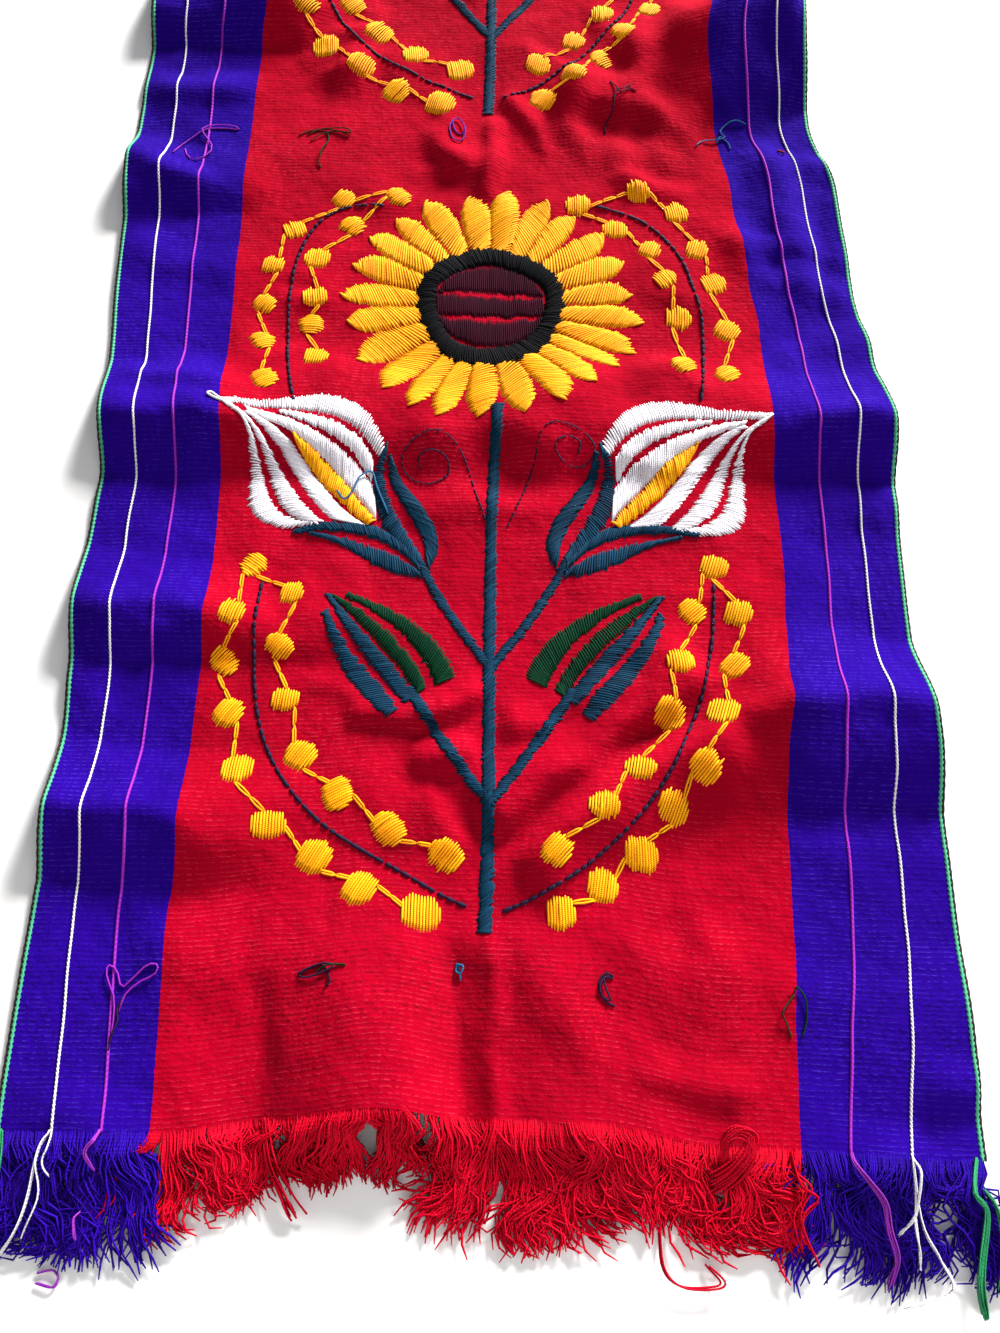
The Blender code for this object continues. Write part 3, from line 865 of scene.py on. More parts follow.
def satin_between(edge_a, edge_b, slant=0.0, spacing=SATIN_SPACING):
    """Starts and ends of satin stitches between two edges, each a function of a share from 0 to 1."""
    shares = np.linspace(0.0, 1.0, 25)
    middle = 0.5 * (edge_a(shares) + edge_b(shares))
    count = max(3, int(along_path(middle)[-1] * (1.0 + abs(slant)) / spacing))
    share = np.linspace(min(0.0, -slant), max(1.0, 1.0 - slant), count)
    return edge_a(np.clip(share, 0.0, 1.0)), edge_b(np.clip(share + slant, 0.0, 1.0))


def ribbon_edges(control, half_width):
    """The two edges of a band along a curve. half_width is a function of the share along it."""
    fine = np.linspace(0.0, 1.0, 61)
    line = bezier(control, fine)
    ahead = np.gradient(line, axis=0)
    ahead /= np.linalg.norm(ahead, axis=1, keepdims=True)
    side = np.stack([-ahead[:, 1], ahead[:, 0]], axis=1)

    def edge(sign):
        rim = line + sign * side * half_width(fine)[:, None]
        return lambda share: at_length(rim, fine, share)

    return edge(1.0), edge(-1.0)


def ribbon(spray, tubes, control, half_width, slant_mm, rise, spacing=SATIN_SPACING, radius=SATIN_RADIUS):
    left, right = ribbon_edges(control, half_width)
    length = along_path(bezier(control, np.linspace(0.0, 1.0, 25)))[-1]
    starts, ends = satin_between(left, right, slant_mm / length, spacing)
    spray.stitches(tubes, starts, ends, rise, radius)


# Sunflower

FLOWER_MIDDLE = np.array([-1.0, 332.5])
# Where each petal points, in degrees.
PETAL_TURNS = (82, 66, 52, 38, 22, 6, -7, -22, -32, -45, -60, -76, -95, -110, -122, -135, -152, -173,
               -186, -201, -216, -229, -243, -260)
PETAL_ROOT = 34.0
PETAL_TIP = 77.0
PETAL_SPACING = 1.32
PETAL_SLANT = 0.20
# The dark ring's outer and inner half width and half height.
RING_OUTER = (39.5, 40.0)
RING_INNER = (28.0, 26.5)
RING_STITCHES = 176
RING_TWIST = 0.10
HEART_SPACING = 1.05
# The red slits between the heart's blocks of stitches: height over the flower's middle, half width.
SLITS = ((6.8, 1.15), (-8.6, 1.15))
SLIT_REACH = 25.5


def flower_place(reach, turn):
    return FLOWER_MIDDLE + reach * np.array([math.cos(turn), math.sin(turn)])


def petal(spray, tubes, before, turn, after):
    """One petal, between the turns of the petals before and after it, in radians."""
    draw = spray.draw
    length = PETAL_TIP * (1.0 + draw.normal(0.0, 0.024))
    tip = flower_place(length, turn)
    lean = 0.45 * math.cos(turn) + draw.normal(0.0, 0.20)

    def edge(neighbour, fullness):
        aside = 0.5 * (neighbour - turn)
        control = (
            flower_place(PETAL_ROOT, turn + 0.98 * aside),
            flower_place(0.74 * length, turn + 1.08 * aside),
            flower_place(0.92 * length, turn + fullness * aside),
            tip,
        )
        return lambda share: bezier(control, share)

    slant = (-PETAL_SLANT if math.cos(turn) > 0.35 else PETAL_SLANT) + draw.normal(0.0, 0.04)
    edges = edge(before, 1.14 + lean), edge(after, 1.14 - lean)
    starts, ends = satin_between(*edges, slant, PETAL_SPACING)
    spray.stitches(tubes, starts, ends, 0.55, 0.67)


def sunflower(spray, yellow, black, maroon):
    turns = np.radians(PETAL_TURNS) + spray.draw.normal(0.0, 0.012, len(PETAL_TURNS))
    for number, turn in enumerate(turns):
        before = turns[number - 1] + (FULL_TURN if number == 0 else 0.0)
        last = number == len(turns) - 1
        after = turns[0] - FULL_TURN if last else turns[number + 1]
        petal(spray, yellow, before, turn, after)
    ring(spray, black)
    heart(spray, maroon)


def ring(spray, black):
    """Stitches from an inner oval to an outer one, both a little uneven."""
    angle = np.linspace(0.0, FULL_TURN, RING_STITCHES, endpoint=False)
    wobble = 1.0 + 0.026 * np.sin(3.0 * angle + 0.8) + 0.022 * np.sin(5.0 * angle)

    def oval(half, angle):
        return np.stack([half[0] * np.cos(angle), half[1] * np.sin(angle)], axis=1) * wobble[:, None]

    starts = FLOWER_MIDDLE + oval(RING_INNER, angle)
    spray.stitches(black, starts, FLOWER_MIDDLE + oval(RING_OUTER, angle + RING_TWIST), 1.15, 0.72)


def heart(spray, maroon):
    """Three blocks of upright stitches inside the ring, parted by two narrow slits."""
    reach = RING_INNER[0] + 0.5
    x = np.arange(-reach + 1.0, reach - 0.5, HEART_SPACING)
    rim = (RING_INNER[1] + 0.6) * np.sqrt(np.clip(1.0 - (x / reach) ** 2, 0.0, 1.0))
    open_share = np.clip(1.25 - (np.abs(x) / SLIT_REACH) ** 4.0, 0.05, 1.0)
    upper = SLITS[0][0] + 0.55 * np.sin(0.55 * x) - 0.05 * x
    lower = SLITS[1][0] + 0.50 * np.sin(0.45 * x + 1.0) + 0.0022 * x**2
    half_upper = SLITS[0][1] * open_share
    half_lower = SLITS[1][1] * open_share
    blocks = ((np.minimum(rim, 40.0), upper + half_upper), (upper - half_upper, lower + half_lower),
              (lower - half_lower, -rim))
    for top, bottom in blocks:
        top = np.clip(top, -rim, rim)
        bottom = np.clip(bottom, -rim, rim)
        starts = FLOWER_MIDDLE + np.stack([x, top], axis=1)
        ends = FLOWER_MIDDLE + np.stack([x + 0.5, bottom], axis=1)
        spray.stitches(maroon, starts, ends, 0.4, 0.58)


# Stems. Places are for the right side; side is -1 for its mirror image.

STEM = ((-2.3, -3), (1.5, 70), (-3.5, 170), (3.3, 266))
LILY_STEM = ((0, 123), (13, 141), (24, 155), (35, 180))
LEAF_STEM = ((0.3, 55), (14, 74), (27, 91), (38, 112))


def stems(spray, teal):
    def width(start, more, wave=0.0):
        return lambda share: start + more * share + wave * np.sin(23.0 * share)

    ribbon(spray, teal, STEM, width(3.0, -0.35, 0.12), 6.0, 0.6, 1.2, 0.6)
    for side in (-1.0, 1.0):
        ribbon(spray, teal, mirrored(LILY_STEM, side), width(2.1, 0.0), 4.0 * side, 0.5, 1.15, 0.56)
        ribbon(spray, teal, mirrored(LEAF_STEM, side), width(2.4, 0.3), 4.5 * side, 0.5, 1.2, 0.58)


# Bands of satin stitch. Both edges are cubic curves, from the outer end of the motif to its stem.
# slant is how far a stitch's second end runs on, as a share of the band.
Band = namedtuple("Band", "colour one other slant")
LILY = (
    Band("lily", ((135.5, 265.5), (101, 265.5), (70, 289.5), (53.5, 243.5)),
         ((132.5, 262.5), (101.5, 261), (74.5, 270), (57, 238.5)), 0),
    Band("lily", ((107, 262), (88, 260.5), (68, 255), (60, 237)),
         ((106, 260), (87, 252), (71, 248.5), (60.5, 226)), 0.02),
    Band("lily", ((123, 261), (100.5, 261), (67, 240), (59, 221)),
         ((121.5, 258.5), (92, 251), (76, 228), (57.5, 204)), 0.02),
    Band("lily", ((121.5, 258), (94.5, 250), (89, 215.5), (62.5, 200.5)),
         ((123, 257.5), (104, 247), (99.5, 222), (79.5, 203.5)), -0.06),
    Band("lily", ((127, 259), (108, 245), (104, 218), (84, 201.5)),
         ((129, 258.5), (106, 247), (118.5, 208), (89, 201.5)), -0.06),
    Band("lily", ((131, 260), (107.5, 247.5), (125, 202.5), (88.5, 202)),
         ((135.5, 264.5), (100, 248.5), (149, 190.5), (86, 200)), -0.03),
    Band("petals", ((99.5, 248.5), (81.5, 240), (71, 219), (57, 203.5)),
         ((99, 247), (92, 229), (76, 212.5), (61.5, 200.5)), 0.10),
)
CALYX = (
    Band("teal", ((53.5, 237), (56.5, 217), (42.5, 199), (34, 182)),
         ((52.5, 245), (67.5, 223), (55.5, 193), (36, 178)), 0.10),
    Band("teal", ((51.5, 238), (55.5, 217.5), (31.5, 201.5), (31.5, 182)),
         ((50, 239), (47.5, 217.5), (14.5, 199), (30, 176.5)), 0.08),
    Band("teal", ((98, 197.5), (69, 204.5), (49.5, 205.5), (35.5, 178.5)),
         ((97, 195.5), (71, 199.5), (50, 195), (35, 175.5)), 0.06),
    Band("teal", ((89.5, 196), (70, 192), (50.5, 188.5), (35.5, 175)),
         ((89, 194), (67, 191.5), (58, 171.5), (34.5, 171.5)), 0.06),
)
LEAF = (
    Band("teal", ((80, 150), (75.5, 129), (64.5, 110.5), (47.5, 96)),
         ((77.5, 153), (71.5, 132), (53.5, 120), (42.5, 100.5)), 0.08),
    Band("teal", ((79.5, 161), (69, 140), (55.5, 122), (40, 103.5)),
         ((77.5, 161.5), (65.5, 143.5), (47, 129), (35.5, 108)), 0.08),
    Band("green", ((77, 161.5), (64.5, 144.5), (46, 130), (34.5, 109)),
         ((71.5, 158), (54.5, 150), (38, 132.5), (30, 113)), -0.08),
    Band("green", ((69.5, 160), (51.5, 151.5), (32, 134), (26, 114)),
         ((68.5, 162), (46.5, 154.5), (24, 143), (16.5, 119)), -0.08),
)


def bands(spray, table, side, droop, tubes, rise=0.5):
    """The bands of a motif. droop lowers its outer end, as a share of how far out it is."""
    def edge(control):
        points = np.array(control, float)
        points[:, 1] -= droop * (points[:, 0] - 35.0)
        points[:, 0] *= side
        return lambda share: bezier(points, share)

    for band in table:
        starts, ends = satin_between(edge(band.one), edge(band.other), band.slant)
        spray.stitches(tubes[band.colour], starts, ends, 1.1 if band.colour == "petals" else rise)


# Berry garlands. A berry's place is (millimetres along the spine, millimetres aside from it). first is the
# berry at the spine's start, and growth says how much larger the last berries are.

Garland = namedtuple("Garland", "side spine first outer inner growth")
GARLANDS = (
    Garland(-1, ((59, 399), (122, 415), (106, 302), (100, 268)), (51, 406),
            ((21, -6), (47, -9), (73, -12), (96, -13), (119, -13), (145, -13)),
            ((20, 13), (64, 10), (91, 13), (109, 12), (132, 14)), 0),
    Garland(1, ((59, 398), (118, 395), (109, 308), (102, 266)), (48.5, 400),
            ((18, -16), (35, -18), (56, -11), (77, -12), (106, -12), (133, -12)),
            ((13, 12), (46, 12), (71, 13), (98, 12), (131, 10)), 0),
    Garland(-1, ((111, 168), (117, 79), (89, 40), (8, 8)), (116, 178),
            ((17, -11), (39, -14), (64, -13), (90, -15), (117, -17), (140, -13), (165, -15), (192, -12)),
            ((6, 15), (35, 12), (64, 13), (96, 12), (128, 14), (160, 14), (189, 17)), 0.30),
    Garland(1, ((103, 168), (105, 96), (73, 30), (2, 5)), (103.5, 177.5),
            ((14, -11), (39, -12), (64, -11), (89, -13), (111, -9), (135, -11), (158, -11), (179, -11)),
            ((15, 10), (44, 13), (72, 11), (105, 12), (134, 14), (167, 13)), 0.22),
)
BERRY_RADIUS = 6.2
# Which way a berry's stitches run, in radians, and how much that varies.
BERRY_HEADING = (1.20, 0.50)
LOOP_LENGTH = 9.0
LOOP_BOW = 0.75
LOOP_RADIUS = 0.46


def berry(spray, tubes, middle, size):
    draw = spray.draw
    heading = draw.normal(*BERRY_HEADING)
    along = np.array([math.cos(heading), math.sin(heading)])
    across = np.array([-along[1], along[0]])
    wide = BERRY_RADIUS * size * draw.uniform(0.92, 1.12)
    tall = BERRY_RADIUS * size * draw.uniform(0.88, 1.10)
    offset = np.arange(-wide + 0.6, wide - 0.3, SATIN_SPACING)
    half = tall * (1.0 - (np.abs(offset) / wide) ** 2.6) ** 0.5
    starts = middle + offset[:, None] * across - half[:, None] * along
    ends = middle + offset[:, None] * across + half[:, None] * along
    rise = 0.35 + 0.6 * (1.0 - (offset / wide) ** 2)
    spray.stitches(tubes, starts, ends, rise, 0.67)


def chain_link(spray, tubes, start, end):
    """Thin loops in a row, as chain stitch makes them."""
    reach = float(np.linalg.norm(end - start))
    loops = max(1, int(round(reach / LOOP_LENGTH)))
    for number in range(loops):
        low = start + (end - start) * (number / loops)
        high = start + (end - start) * ((number + 1.04) / loops)
        for bow in (-LOOP_BOW, LOOP_BOW):
            spray.stitches(tubes, low[None, :], high[None, :], 0.4, LOOP_RADIUS, bow)


def back_stitches(spray, tubes, fine, step=4.4, stitch=3.8, radius=0.92):
    length = along_path(fine)
    places = np.arange(0.0, length[-1] - stitch, step)
    places = places + spray.draw.normal(0.0, 0.25, len(places))
    starts = at_length(fine, length, places)
    ends = at_length(fine, length, places + stitch)
    spray.stitches(tubes, starts, ends, 0.4, radius)


def garland(spray, form, yellow, plum):
    fine = bezier(form.spine, np.linspace(0.0, 1.0, 121))
    length = along_path(fine)
    ahead = np.gradient(fine, axis=0)
    ahead /= np.linalg.norm(ahead, axis=1, keepdims=True)
    inward = np.stack([ahead[:, 1], -ahead[:, 0]], axis=1)
    back_stitches(spray, plum, mirrored(fine, form.side))
    first = mirrored(form.first, form.side)
    berry(spray, yellow, first, 1.05)
    for row in (form.outer, form.inner):
        table = np.array(row, float)
        places = table[:, 0] + spray.draw.normal(0.0, 0.6, len(table))
        middles = at_length(fine, length, places) + table[:, 1:] * at_length(inward, length, places)
        middles = mirrored(middles, form.side)
        sizes = 1.0 + form.growth * places / length[-1]
        for middle, size in zip(middles, sizes):
            berry(spray, yellow, middle, size)
        here = first
        for number, after in enumerate(middles):
            run = (after - here) / np.linalg.norm(after - here)
            turn = np.array([-run[1], run[0]]) * (3.6 if number % 2 else -3.6)
            reach = BERRY_RADIUS * sizes[number] * 0.80
            chain_link(spray, yellow, here + run * reach + turn, after - run * reach - 0.4 * turn)
            here = after


# Curls. A path from the stem up and round, for each side, and its back stitches' step, length and radius.

CURL_STITCHES = (3.2, 2.5, 0.44)
CURLS = (
    (-1.0, ((2, 200), (7, 215), (10, 227), (14, 238), (20, 246), (28, 250), (36, 248), (43, 242), (45, 234),
            (41, 227), (33, 223), (25, 225), (21, 230), (23, 237), (31, 240), (37, 236), (35, 231))),
    (1.0, ((8, 199), (14, 214), (21, 235), (24, 248), (30, 254), (38, 253), (46, 248), (50, 241), (47, 234),
           (40, 232), (33, 236), (31, 243), (37, 247), (43, 244), (42, 239))),
)


# Thread ends left on the face. A path is in millimetres from its place (across, along) in metres. Those
# over the first spray come again over the others.
Tail = namedtuple("Tail", "colour across along path")
TAILS = (
    Tail("magenta", -0.152, 0.058, ((-5, -26), (-4, -14), (-5, -4), (-9, 4), (-9, 9), (-5, 7), (-2, 0),
                                    (3, 4), (9, 9), (14, 9), (13, 5), (6, 2), (0, -3), (-2, -10))),
    Tail("plum", -0.157, 0.040, ((0, -8), (1, -2), (3, 4), (2, 9), (4, 14))),
    Tail("plum", -0.070, 0.057, ((-9, 1), (-4, 3), (2, 4), (6, 2), (1, 0), (-6, -1), (-8, 1), (-1, 4),
                                 (3, 1), (5, -4), (3, -6))),
    Tail("green", -0.068, 0.057, ((-3, 1), (2, 3), (9, 2))),
    Tail("blue", -0.013, 0.060, ((-1, 3), (2, 2), (1, -1), (-1, 0), (0, 3), (1, -4))),
    Tail("plum", 0.052, 0.056, ((3, 4), (0, 5), (-3, 2), (-3, -3), (0, -6), (2, -6), (0, -2), (-1, 3),
                                (3, 3))),
    Tail("plum", 0.053, 0.055, ((2, 5), (-2, 4), (-4, -1), (-1, -6), (3, -7))),
    Tail("green", 0.137, 0.056, ((-2, 6), (-1, 8), (2, 4), (3, -3), (2, -9), (1, -11))),
    Tail("olive", 0.135, 0.055, ((0, 6), (-3, 2), (-5, -2), (-3, -6), (-1, -11))),
    Tail("magenta", -0.160, 0.530, ((-17, -17), (-15, -8), (-10, -2), (-3, 4), (4, 6), (11, 6), (17, 5),
                                    (13, 8), (3, 8), (-4, 4), (0, -3), (4, -12), (-1, -20), (-8, -20),
                                    (-12, -10))),
    Tail("olive", -0.095, 0.531, ((-14, -1), (-8, 3), (0, 4), (8, 2), (15, 0), (14, 3), (6, 4), (-2, 4),
                                  (-9, 0))),
    Tail("green", -0.094, 0.530, ((1, 3), (2, -4), (-1, -12), (-2, -20), (-1, -24))),
    Tail("olive", -0.090, 0.530, ((-12, -4), (-6, 1), (2, 3), (10, 0))),
    Tail("violet", -0.019, 0.532, ((-3, 8), (-5, 2), (-3, -7), (1, -9), (4, -4), (3, 4), (0, 9),
                                   (-3, 7), (-2, 0), (2, -3), (4, 3))),
    Tail("plum", 0.076, 0.549, ((10, 12), (5, 9), (1, 8), (-1, 2), (-2, -4), (-6, -10), (-7, -17))),
    Tail("plum", 0.077, 0.552, ((-3, 14), (0, 8), (2, 3), (8, 6), (12, 4))),
    Tail("blue", 0.140, 0.533, ((-18, -12), (-12, -7), (-4, -6), (2, -4), (0, 1), (6, 6), (12, 7),
                                (18, 5))),
    Tail("blue", 0.139, 0.532, ((-3, -7), (0, -3), (4, -6), (5, -11))),
    Tail("crimson", 0.175, 0.517, ((-2, 0), (1, 1), (2, -1), (0, -2), (-2, 0), (3, 1))),
)
TAIL_RADIUS = 0.44
FIRST_REPEATED_TAIL = 0.3
TAIL_STEPS = 26
# On the near left lily alone: a thread loose over the spadix, and a hook of thread at its tip.
LOOSE_THREAD = ((-77, 219), (-73, 214), (-69, 219), (-66, 227), (-60, 230), (-57, 221), (-51, 206))
TIP_HOOK = ((-130, 262), (-136, 265), (-140, 268), (-142, 267), (-139, 265), (-134, 263))
# How far a lily's outer end hangs down on each side, as a share of how far out it is.
LILY_DROOP = {-1.0: 0.0, 1.0: 0.075}


def loose_end(tubes, across, along, path, draw, radius=TAIL_RADIUS, lift=0.5, thrown=1.3):
    """A thread that lies loosely on the face and lifts off it here and there. path is in millimetres."""
    x, y = through(path, TAIL_STEPS).T * MM
    share = np.linspace(0.0, 1.0, TAIL_STEPS)
    phase = draw.uniform(0.0, 6.3)
    high = (lift + thrown * (0.5 + 0.5 * np.sin(7.0 * share + phase)) * np.sin(math.pi * share)) * MM
    points = on_cloth(across + x, along + y, high)
    tubes.add(points[None], np.full((1, TAIL_STEPS), radius * MM))


def thread_ends(tubes):
    draw = np.random.default_rng(SEEDS["tails"])
    for number in range(SPRAYS):
        for tail in TAILS:
            along = tail.along + number * SPRAY_PITCH
            if number and (along > CLOTH_LENGTH - 0.030 or tail.along < FIRST_REPEATED_TAIL):
                continue
            path = np.array(tail.path, float)
            if number:
                path = path * draw.uniform(0.8, 1.2, 2)
            loose_end(tubes[tail.colour], tail.across, along, path, draw)
    foot = STEM_FOOT_ALONG
    loose_end(tubes["blue"], 0.0, foot, LOOSE_THREAD, draw, 0.5, 1.4, 1.2)
    loose_end(tubes["lily"], 0.0, foot, TIP_HOOK, draw, 0.6, 0.4, 0.8)


def thread_finishes():
    yellow = thread_material("yellow_thread", YELLOW, ORANGE, 0.8, specular=0.10, rim=0.14)
    return {
        "petals": yellow,
        "garland": yellow,
        "ring": thread_material("black_thread", BLACK, (14, 15, 19), 0.8, roughness=0.8, specular=0.05),
        "heart": thread_material("maroon_thread", MAROON, (36, 4, 20), 0.9, roughness=0.8, specular=0.04,
                                 rim=0.4),
        "lily": thread_material("white_thread", WHITE, (212, 204, 216), 0.8, specular=0.10, rim=0.22),
        "teal": thread_material("teal_thread", TEAL, (2, 32, 54), 1.0, roughness=0.7, specular=0.08,
                                rim=0.8),
        "green": thread_material("green_thread", GREEN, (0, 40, 24), 0.9, roughness=0.7, specular=0.06,
                                 rim=0.7),
        "plum": thread_material("plum_thread", PLUM, (26, 16, 42), 0.9, roughness=0.7),
        "magenta": thread_material("magenta_thread", MAGENTA, (126, 24, 160), 0.8),
        "blue": thread_material("blue_thread", (40, 110, 160), (20, 80, 120), 0.8),
        "olive": thread_material("olive_thread", (60, 50, 22), (30, 30, 14), 0.8, roughness=0.7),
        "violet": thread_material("violet_thread", (96, 24, 170), (70, 14, 130), 0.8),
        "crimson": thread_material("crimson_thread", (170, 8, 30), (120, 4, 20), 0.8),
    }


def embroidery():
    finishes = thread_finishes()
    tubes = {name: Tubes() for name in finishes}
    for number in range(SPRAYS):
        spray = Spray(number)
        sunflower(spray, tubes["petals"], tubes["ring"], tubes["heart"])
        stems(spray, tubes["teal"])
        for side in (-1.0, 1.0):
            bands(spray, LEAF, side, 0.0, tubes)
            bands(spray, LILY, side, LILY_DROOP[side], tubes)
            bands(spray, CALYX, side, 0.4 * LILY_DROOP[side], tubes, 0.65)
        for form in GARLANDS:
            garland(spray, form, tubes["garland"], tubes["plum"])
        for side, path in CURLS:
            back_stitches(spray, tubes["plum"], mirrored(through(path, 120), side), *CURL_STITCHES)
    thread_ends(tubes)
    return [tube.build("embroidery_" + name, finishes[name]) for name, tube in tubes.items()]


# Cord stripes and selvages

# How far the stripes are drawn in at a hem, and how far from it that starts.
DRAWN_IN = {-1.0: 0.0046, 1.0: 0.0070}
DRAWN_FROM = 0.105
# The white cords are two plies: the length of a turn, how far a ply is from the cord's middle, its radius
# and the middle's height over the cloth. The magenta stripes are one yarn that dips between the ribs.
WHITE_TWIST = 0.0036
PLY_OFFSET = 0.00028
PLY_RADIUS = 0.00042
WHITE_LIFT = 0.0004
MAGENTA_RADIUS = 0.00075
MAGENTA_DIP = 0.00016


def cord_path(side, across, step, drawn_in=0.0):
    """A warp yarn's places on the cloth, from hem to hem."""
    along = np.arange(0.0, CLOTH_LENGTH, step)
    from_hem = np.minimum(along, CLOTH_LENGTH - along)
    drawn = drawn_in * np.clip(1.0 - from_hem / DRAWN_FROM, 0.0, 1.0) ** 1.2
    return side * (across - drawn), along


def cords():
    white, magenta, mint, dark = (Tubes() for _ in range(4))
    for side in (-1.0, 1.0):
        across, along = cord_path(side, WHITE_ACROSS, 0.0009, DRAWN_IN[side])
        sway = 0.0004 * np.sin(along * 37.0) + 0.0002 * np.sin(along * 173.0)
        for ply in (0.0, math.pi):
            turn = FULL_TURN * along / WHITE_TWIST + ply
            aside = PLY_OFFSET * np.cos(turn)
            path = on_cloth(across + sway + aside, along, WHITE_LIFT + PLY_OFFSET * np.sin(turn))
            white.add(path[None], np.full((1, len(along)), PLY_RADIUS))
        across, along = cord_path(side, MAGENTA_ACROSS, RIB_PITCH / 3.0, DRAWN_IN[side])
        dip = np.cos(FULL_TURN * along / RIB_PITCH)
        path = on_cloth(across, along, MAGENTA_DIP * (1.0 + dip))
        magenta.add(path[None], np.full((1, len(along)), MAGENTA_RADIUS))
        across, along = cord_path(side, HALF_WIDTH - 0.0004, RIB_PITCH / 2.0)
        bead = 0.00100 + 0.00030 * np.cos(FULL_TURN * along / RIB_PITCH)
        mint.add(on_cloth(across, along, -0.0003)[None], bead[None])
        across, along = cord_path(side, HALF_WIDTH + 0.0009, RIB_PITCH)
        bead = np.where(np.arange(len(along)) % 2, 0.00085, 0.0006)
        dark.add(on_cloth(across, along, -0.0007)[None], bead[None])
    finishes = (
        ("white_cord", WHITE, (214, 208, 216), 0.5, 0.1, 0.6, 0.0012),
        ("magenta_yarn", MAGENTA, (116, 30, 160), 0.6, 0.2, 0.65, RIB_PITCH),
        ("mint_yarn", MINT, (60, 150, 110), 0.8, 0.2, 0.6, RIB_PITCH),
        ("selvage_yarn", SELVAGE_DARK, (66, 20, 30), 0.9, 0.2, 0.7, 0.0045),
    )
    names = ("white_cord_stripes", "magenta_stripes", "selvage_mint", "selvage_dark")
    cord_tubes = (white, magenta, mint, dark)
    return [tubes.build(name, thread_material(*finish))
            for name, finish, tubes in zip(names, finishes, cord_tubes)]


# Fringe

NEAR_YARNS = 2250
FAR_YARNS = 1250
FRINGE_STEPS = 11
FRINGE_SIDES = 3
TUFTS = 58
YARN_RADIUS = 0.00058
LOWEST_YARN = 0.00072
FAR_REACH = 0.046
FRINGE_REACH = 0.203
FRINGE_MARGIN = 0.006
ROOT_INSIDE = 0.0015
ROOT_DEPTH = 0.0006
MAT_HEIGHT = 0.0054
DROP_LENGTH = 0.030
RIPPLES = 2.3
RIPPLE_HEIGHT = 0.0008
YARN_LENGTHS = (0.016, 0.060)
LOOPED_SHARE = 0.10
# How a yarn wanders: turns along its length, and radians to each side.
YARN_WAVES = ((0.8, 0.62), (1.75, 0.74))

# How far the near fringe reaches from the hem. Rows are (across, reach) in millimetres.
NEAR_REACH = ((-200, 50), (-150, 50), (-132, 44), (-112, 33), (-94, 30), (-86, 36), (-70, 29),
              (-50, 26), (-30, 29), (-18, 42), (-6, 54), (20, 54), (46, 46), (60, 32), (72, 33),
              (88, 45), (127, 46), (155, 50), (200, 54))

# Where the near fringe is thin, with the share of its yarns left there.
THIN_FROM = -0.030
THIN_TO = -0.019
THIN_SHARE = 0.22


# Yarns that lie together apart from the mat. Path: across and along from the hem, in millimetres, as are
# the yarns' spread and the lock's height over the surface.
Lock = namedtuple("Lock", "colour yarns spread height path")
LOCKS = (
    Lock("white", 2, 0.4, 6.0, ((-176.5, 1), (-179, -5), (-182, -25), (-186, -37), (-191, -45))),
    Lock("white", 1, 0.3, 6.4, ((-176, 1), (-175, -6), (-177, -11), (-174, -18))),
    Lock("white", 1, 0.3, 6.0, ((-177, 1), (-180, -10), (-178, -25), (-184, -40))),
    Lock("magenta", 3, 0.4, 6.0, ((-155.5, 1), (-156, -3), (-159, -7), (-157, -14))),
    Lock("magenta", 2, 0.5, 5.6, ((-160, -28), (-162, -33), (-161, -40))),
    Lock("magenta", 2, 0.3, 0.4, ((-176, -52), (-170, -51), (-167, -54), (-169, -57), (-176, -56))),
    Lock("red", 34, 2.1, 5.4, ((106, -15), (102, -5), (103, 3), (108, 6), (113, 4), (113, -1),
                               (107, -8), (98, -14))),
    Lock("red", 2, 0.8, 2.0, ((73, -34), (74, -48), (81, -53), (94, -51), (99, -48), (93, -43))),
    Lock("red", 9, 1.6, 3.0, ((-90, 0), (-87, -16), (-81, -29), (-76, -38))),
    Lock("red", 2, 1.2, 4.0, ((-33, 0), (-26, -8), (-31, -14), (-26, -22))),
    Lock("red", 2, 1.2, 6.0, ((131, 0), (133, -12), (139, -17), (132, -26), (138, -41))),
    Lock("red", 2, 1.2, 6.0, ((129, -6), (137, -14), (131, -24), (135, -37))),
    Lock("magenta", 7, 0.6, 5.8, ((153, 1), (153.5, -3), (157, -9), (162, -17), (163, -27), (165, -37),
                                  (162, -47))),
    Lock("white", 3, 0.5, 6.8, ((174, 1), (175, -6), (172, -21), (167, -29))),
    Lock("white", 2, 0.4, 6.4, ((174, 1), (172, -23), (173, -41))),
    Lock("white", 2, 0.4, 6.0, ((174, 1), (175, -25), (179, -36), (182, -47), (166, -55))),
    Lock("green", 12, 0.9, 5.6, ((197, 1), (194, -12), (197, -20), (192, -43), (193, -56))),
    Lock("green", 5, 0.7, 5.2, ((197, -8), (202, -22), (200, -47))),
    Lock("green", 5, 0.7, 5.2, ((-198, 1), (-196, -14), (-199, -26), (-195, -40))),
)
LOCK_RADIUS = 0.00050
LOCK_DROP = 0.026


def yarn_colour(across, near):
    """Which colour of warp leaves the hem at each place. The near hem's stripes have locks of their own."""
    edge = np.abs(across)
    names = np.where(edge < RED_HALF_WIDTH, "red", "blue")
    if near:
        return names
    names = np.where(np.abs(edge - MAGENTA_ACROSS) < 0.0010, "magenta", names)
    names = np.where(np.abs(edge - WHITE_ACROSS) < 0.0009, "white", names)
    return np.where(edge > 0.1965, "green", names)


def tufted(draw, tuft, shared, own):
    """A draw for each yarn: one that its tuft shares and one of its own."""
    return draw.normal(0.0, shared, TUFTS)[tuft] + draw.normal(0.0, own, len(tuft))


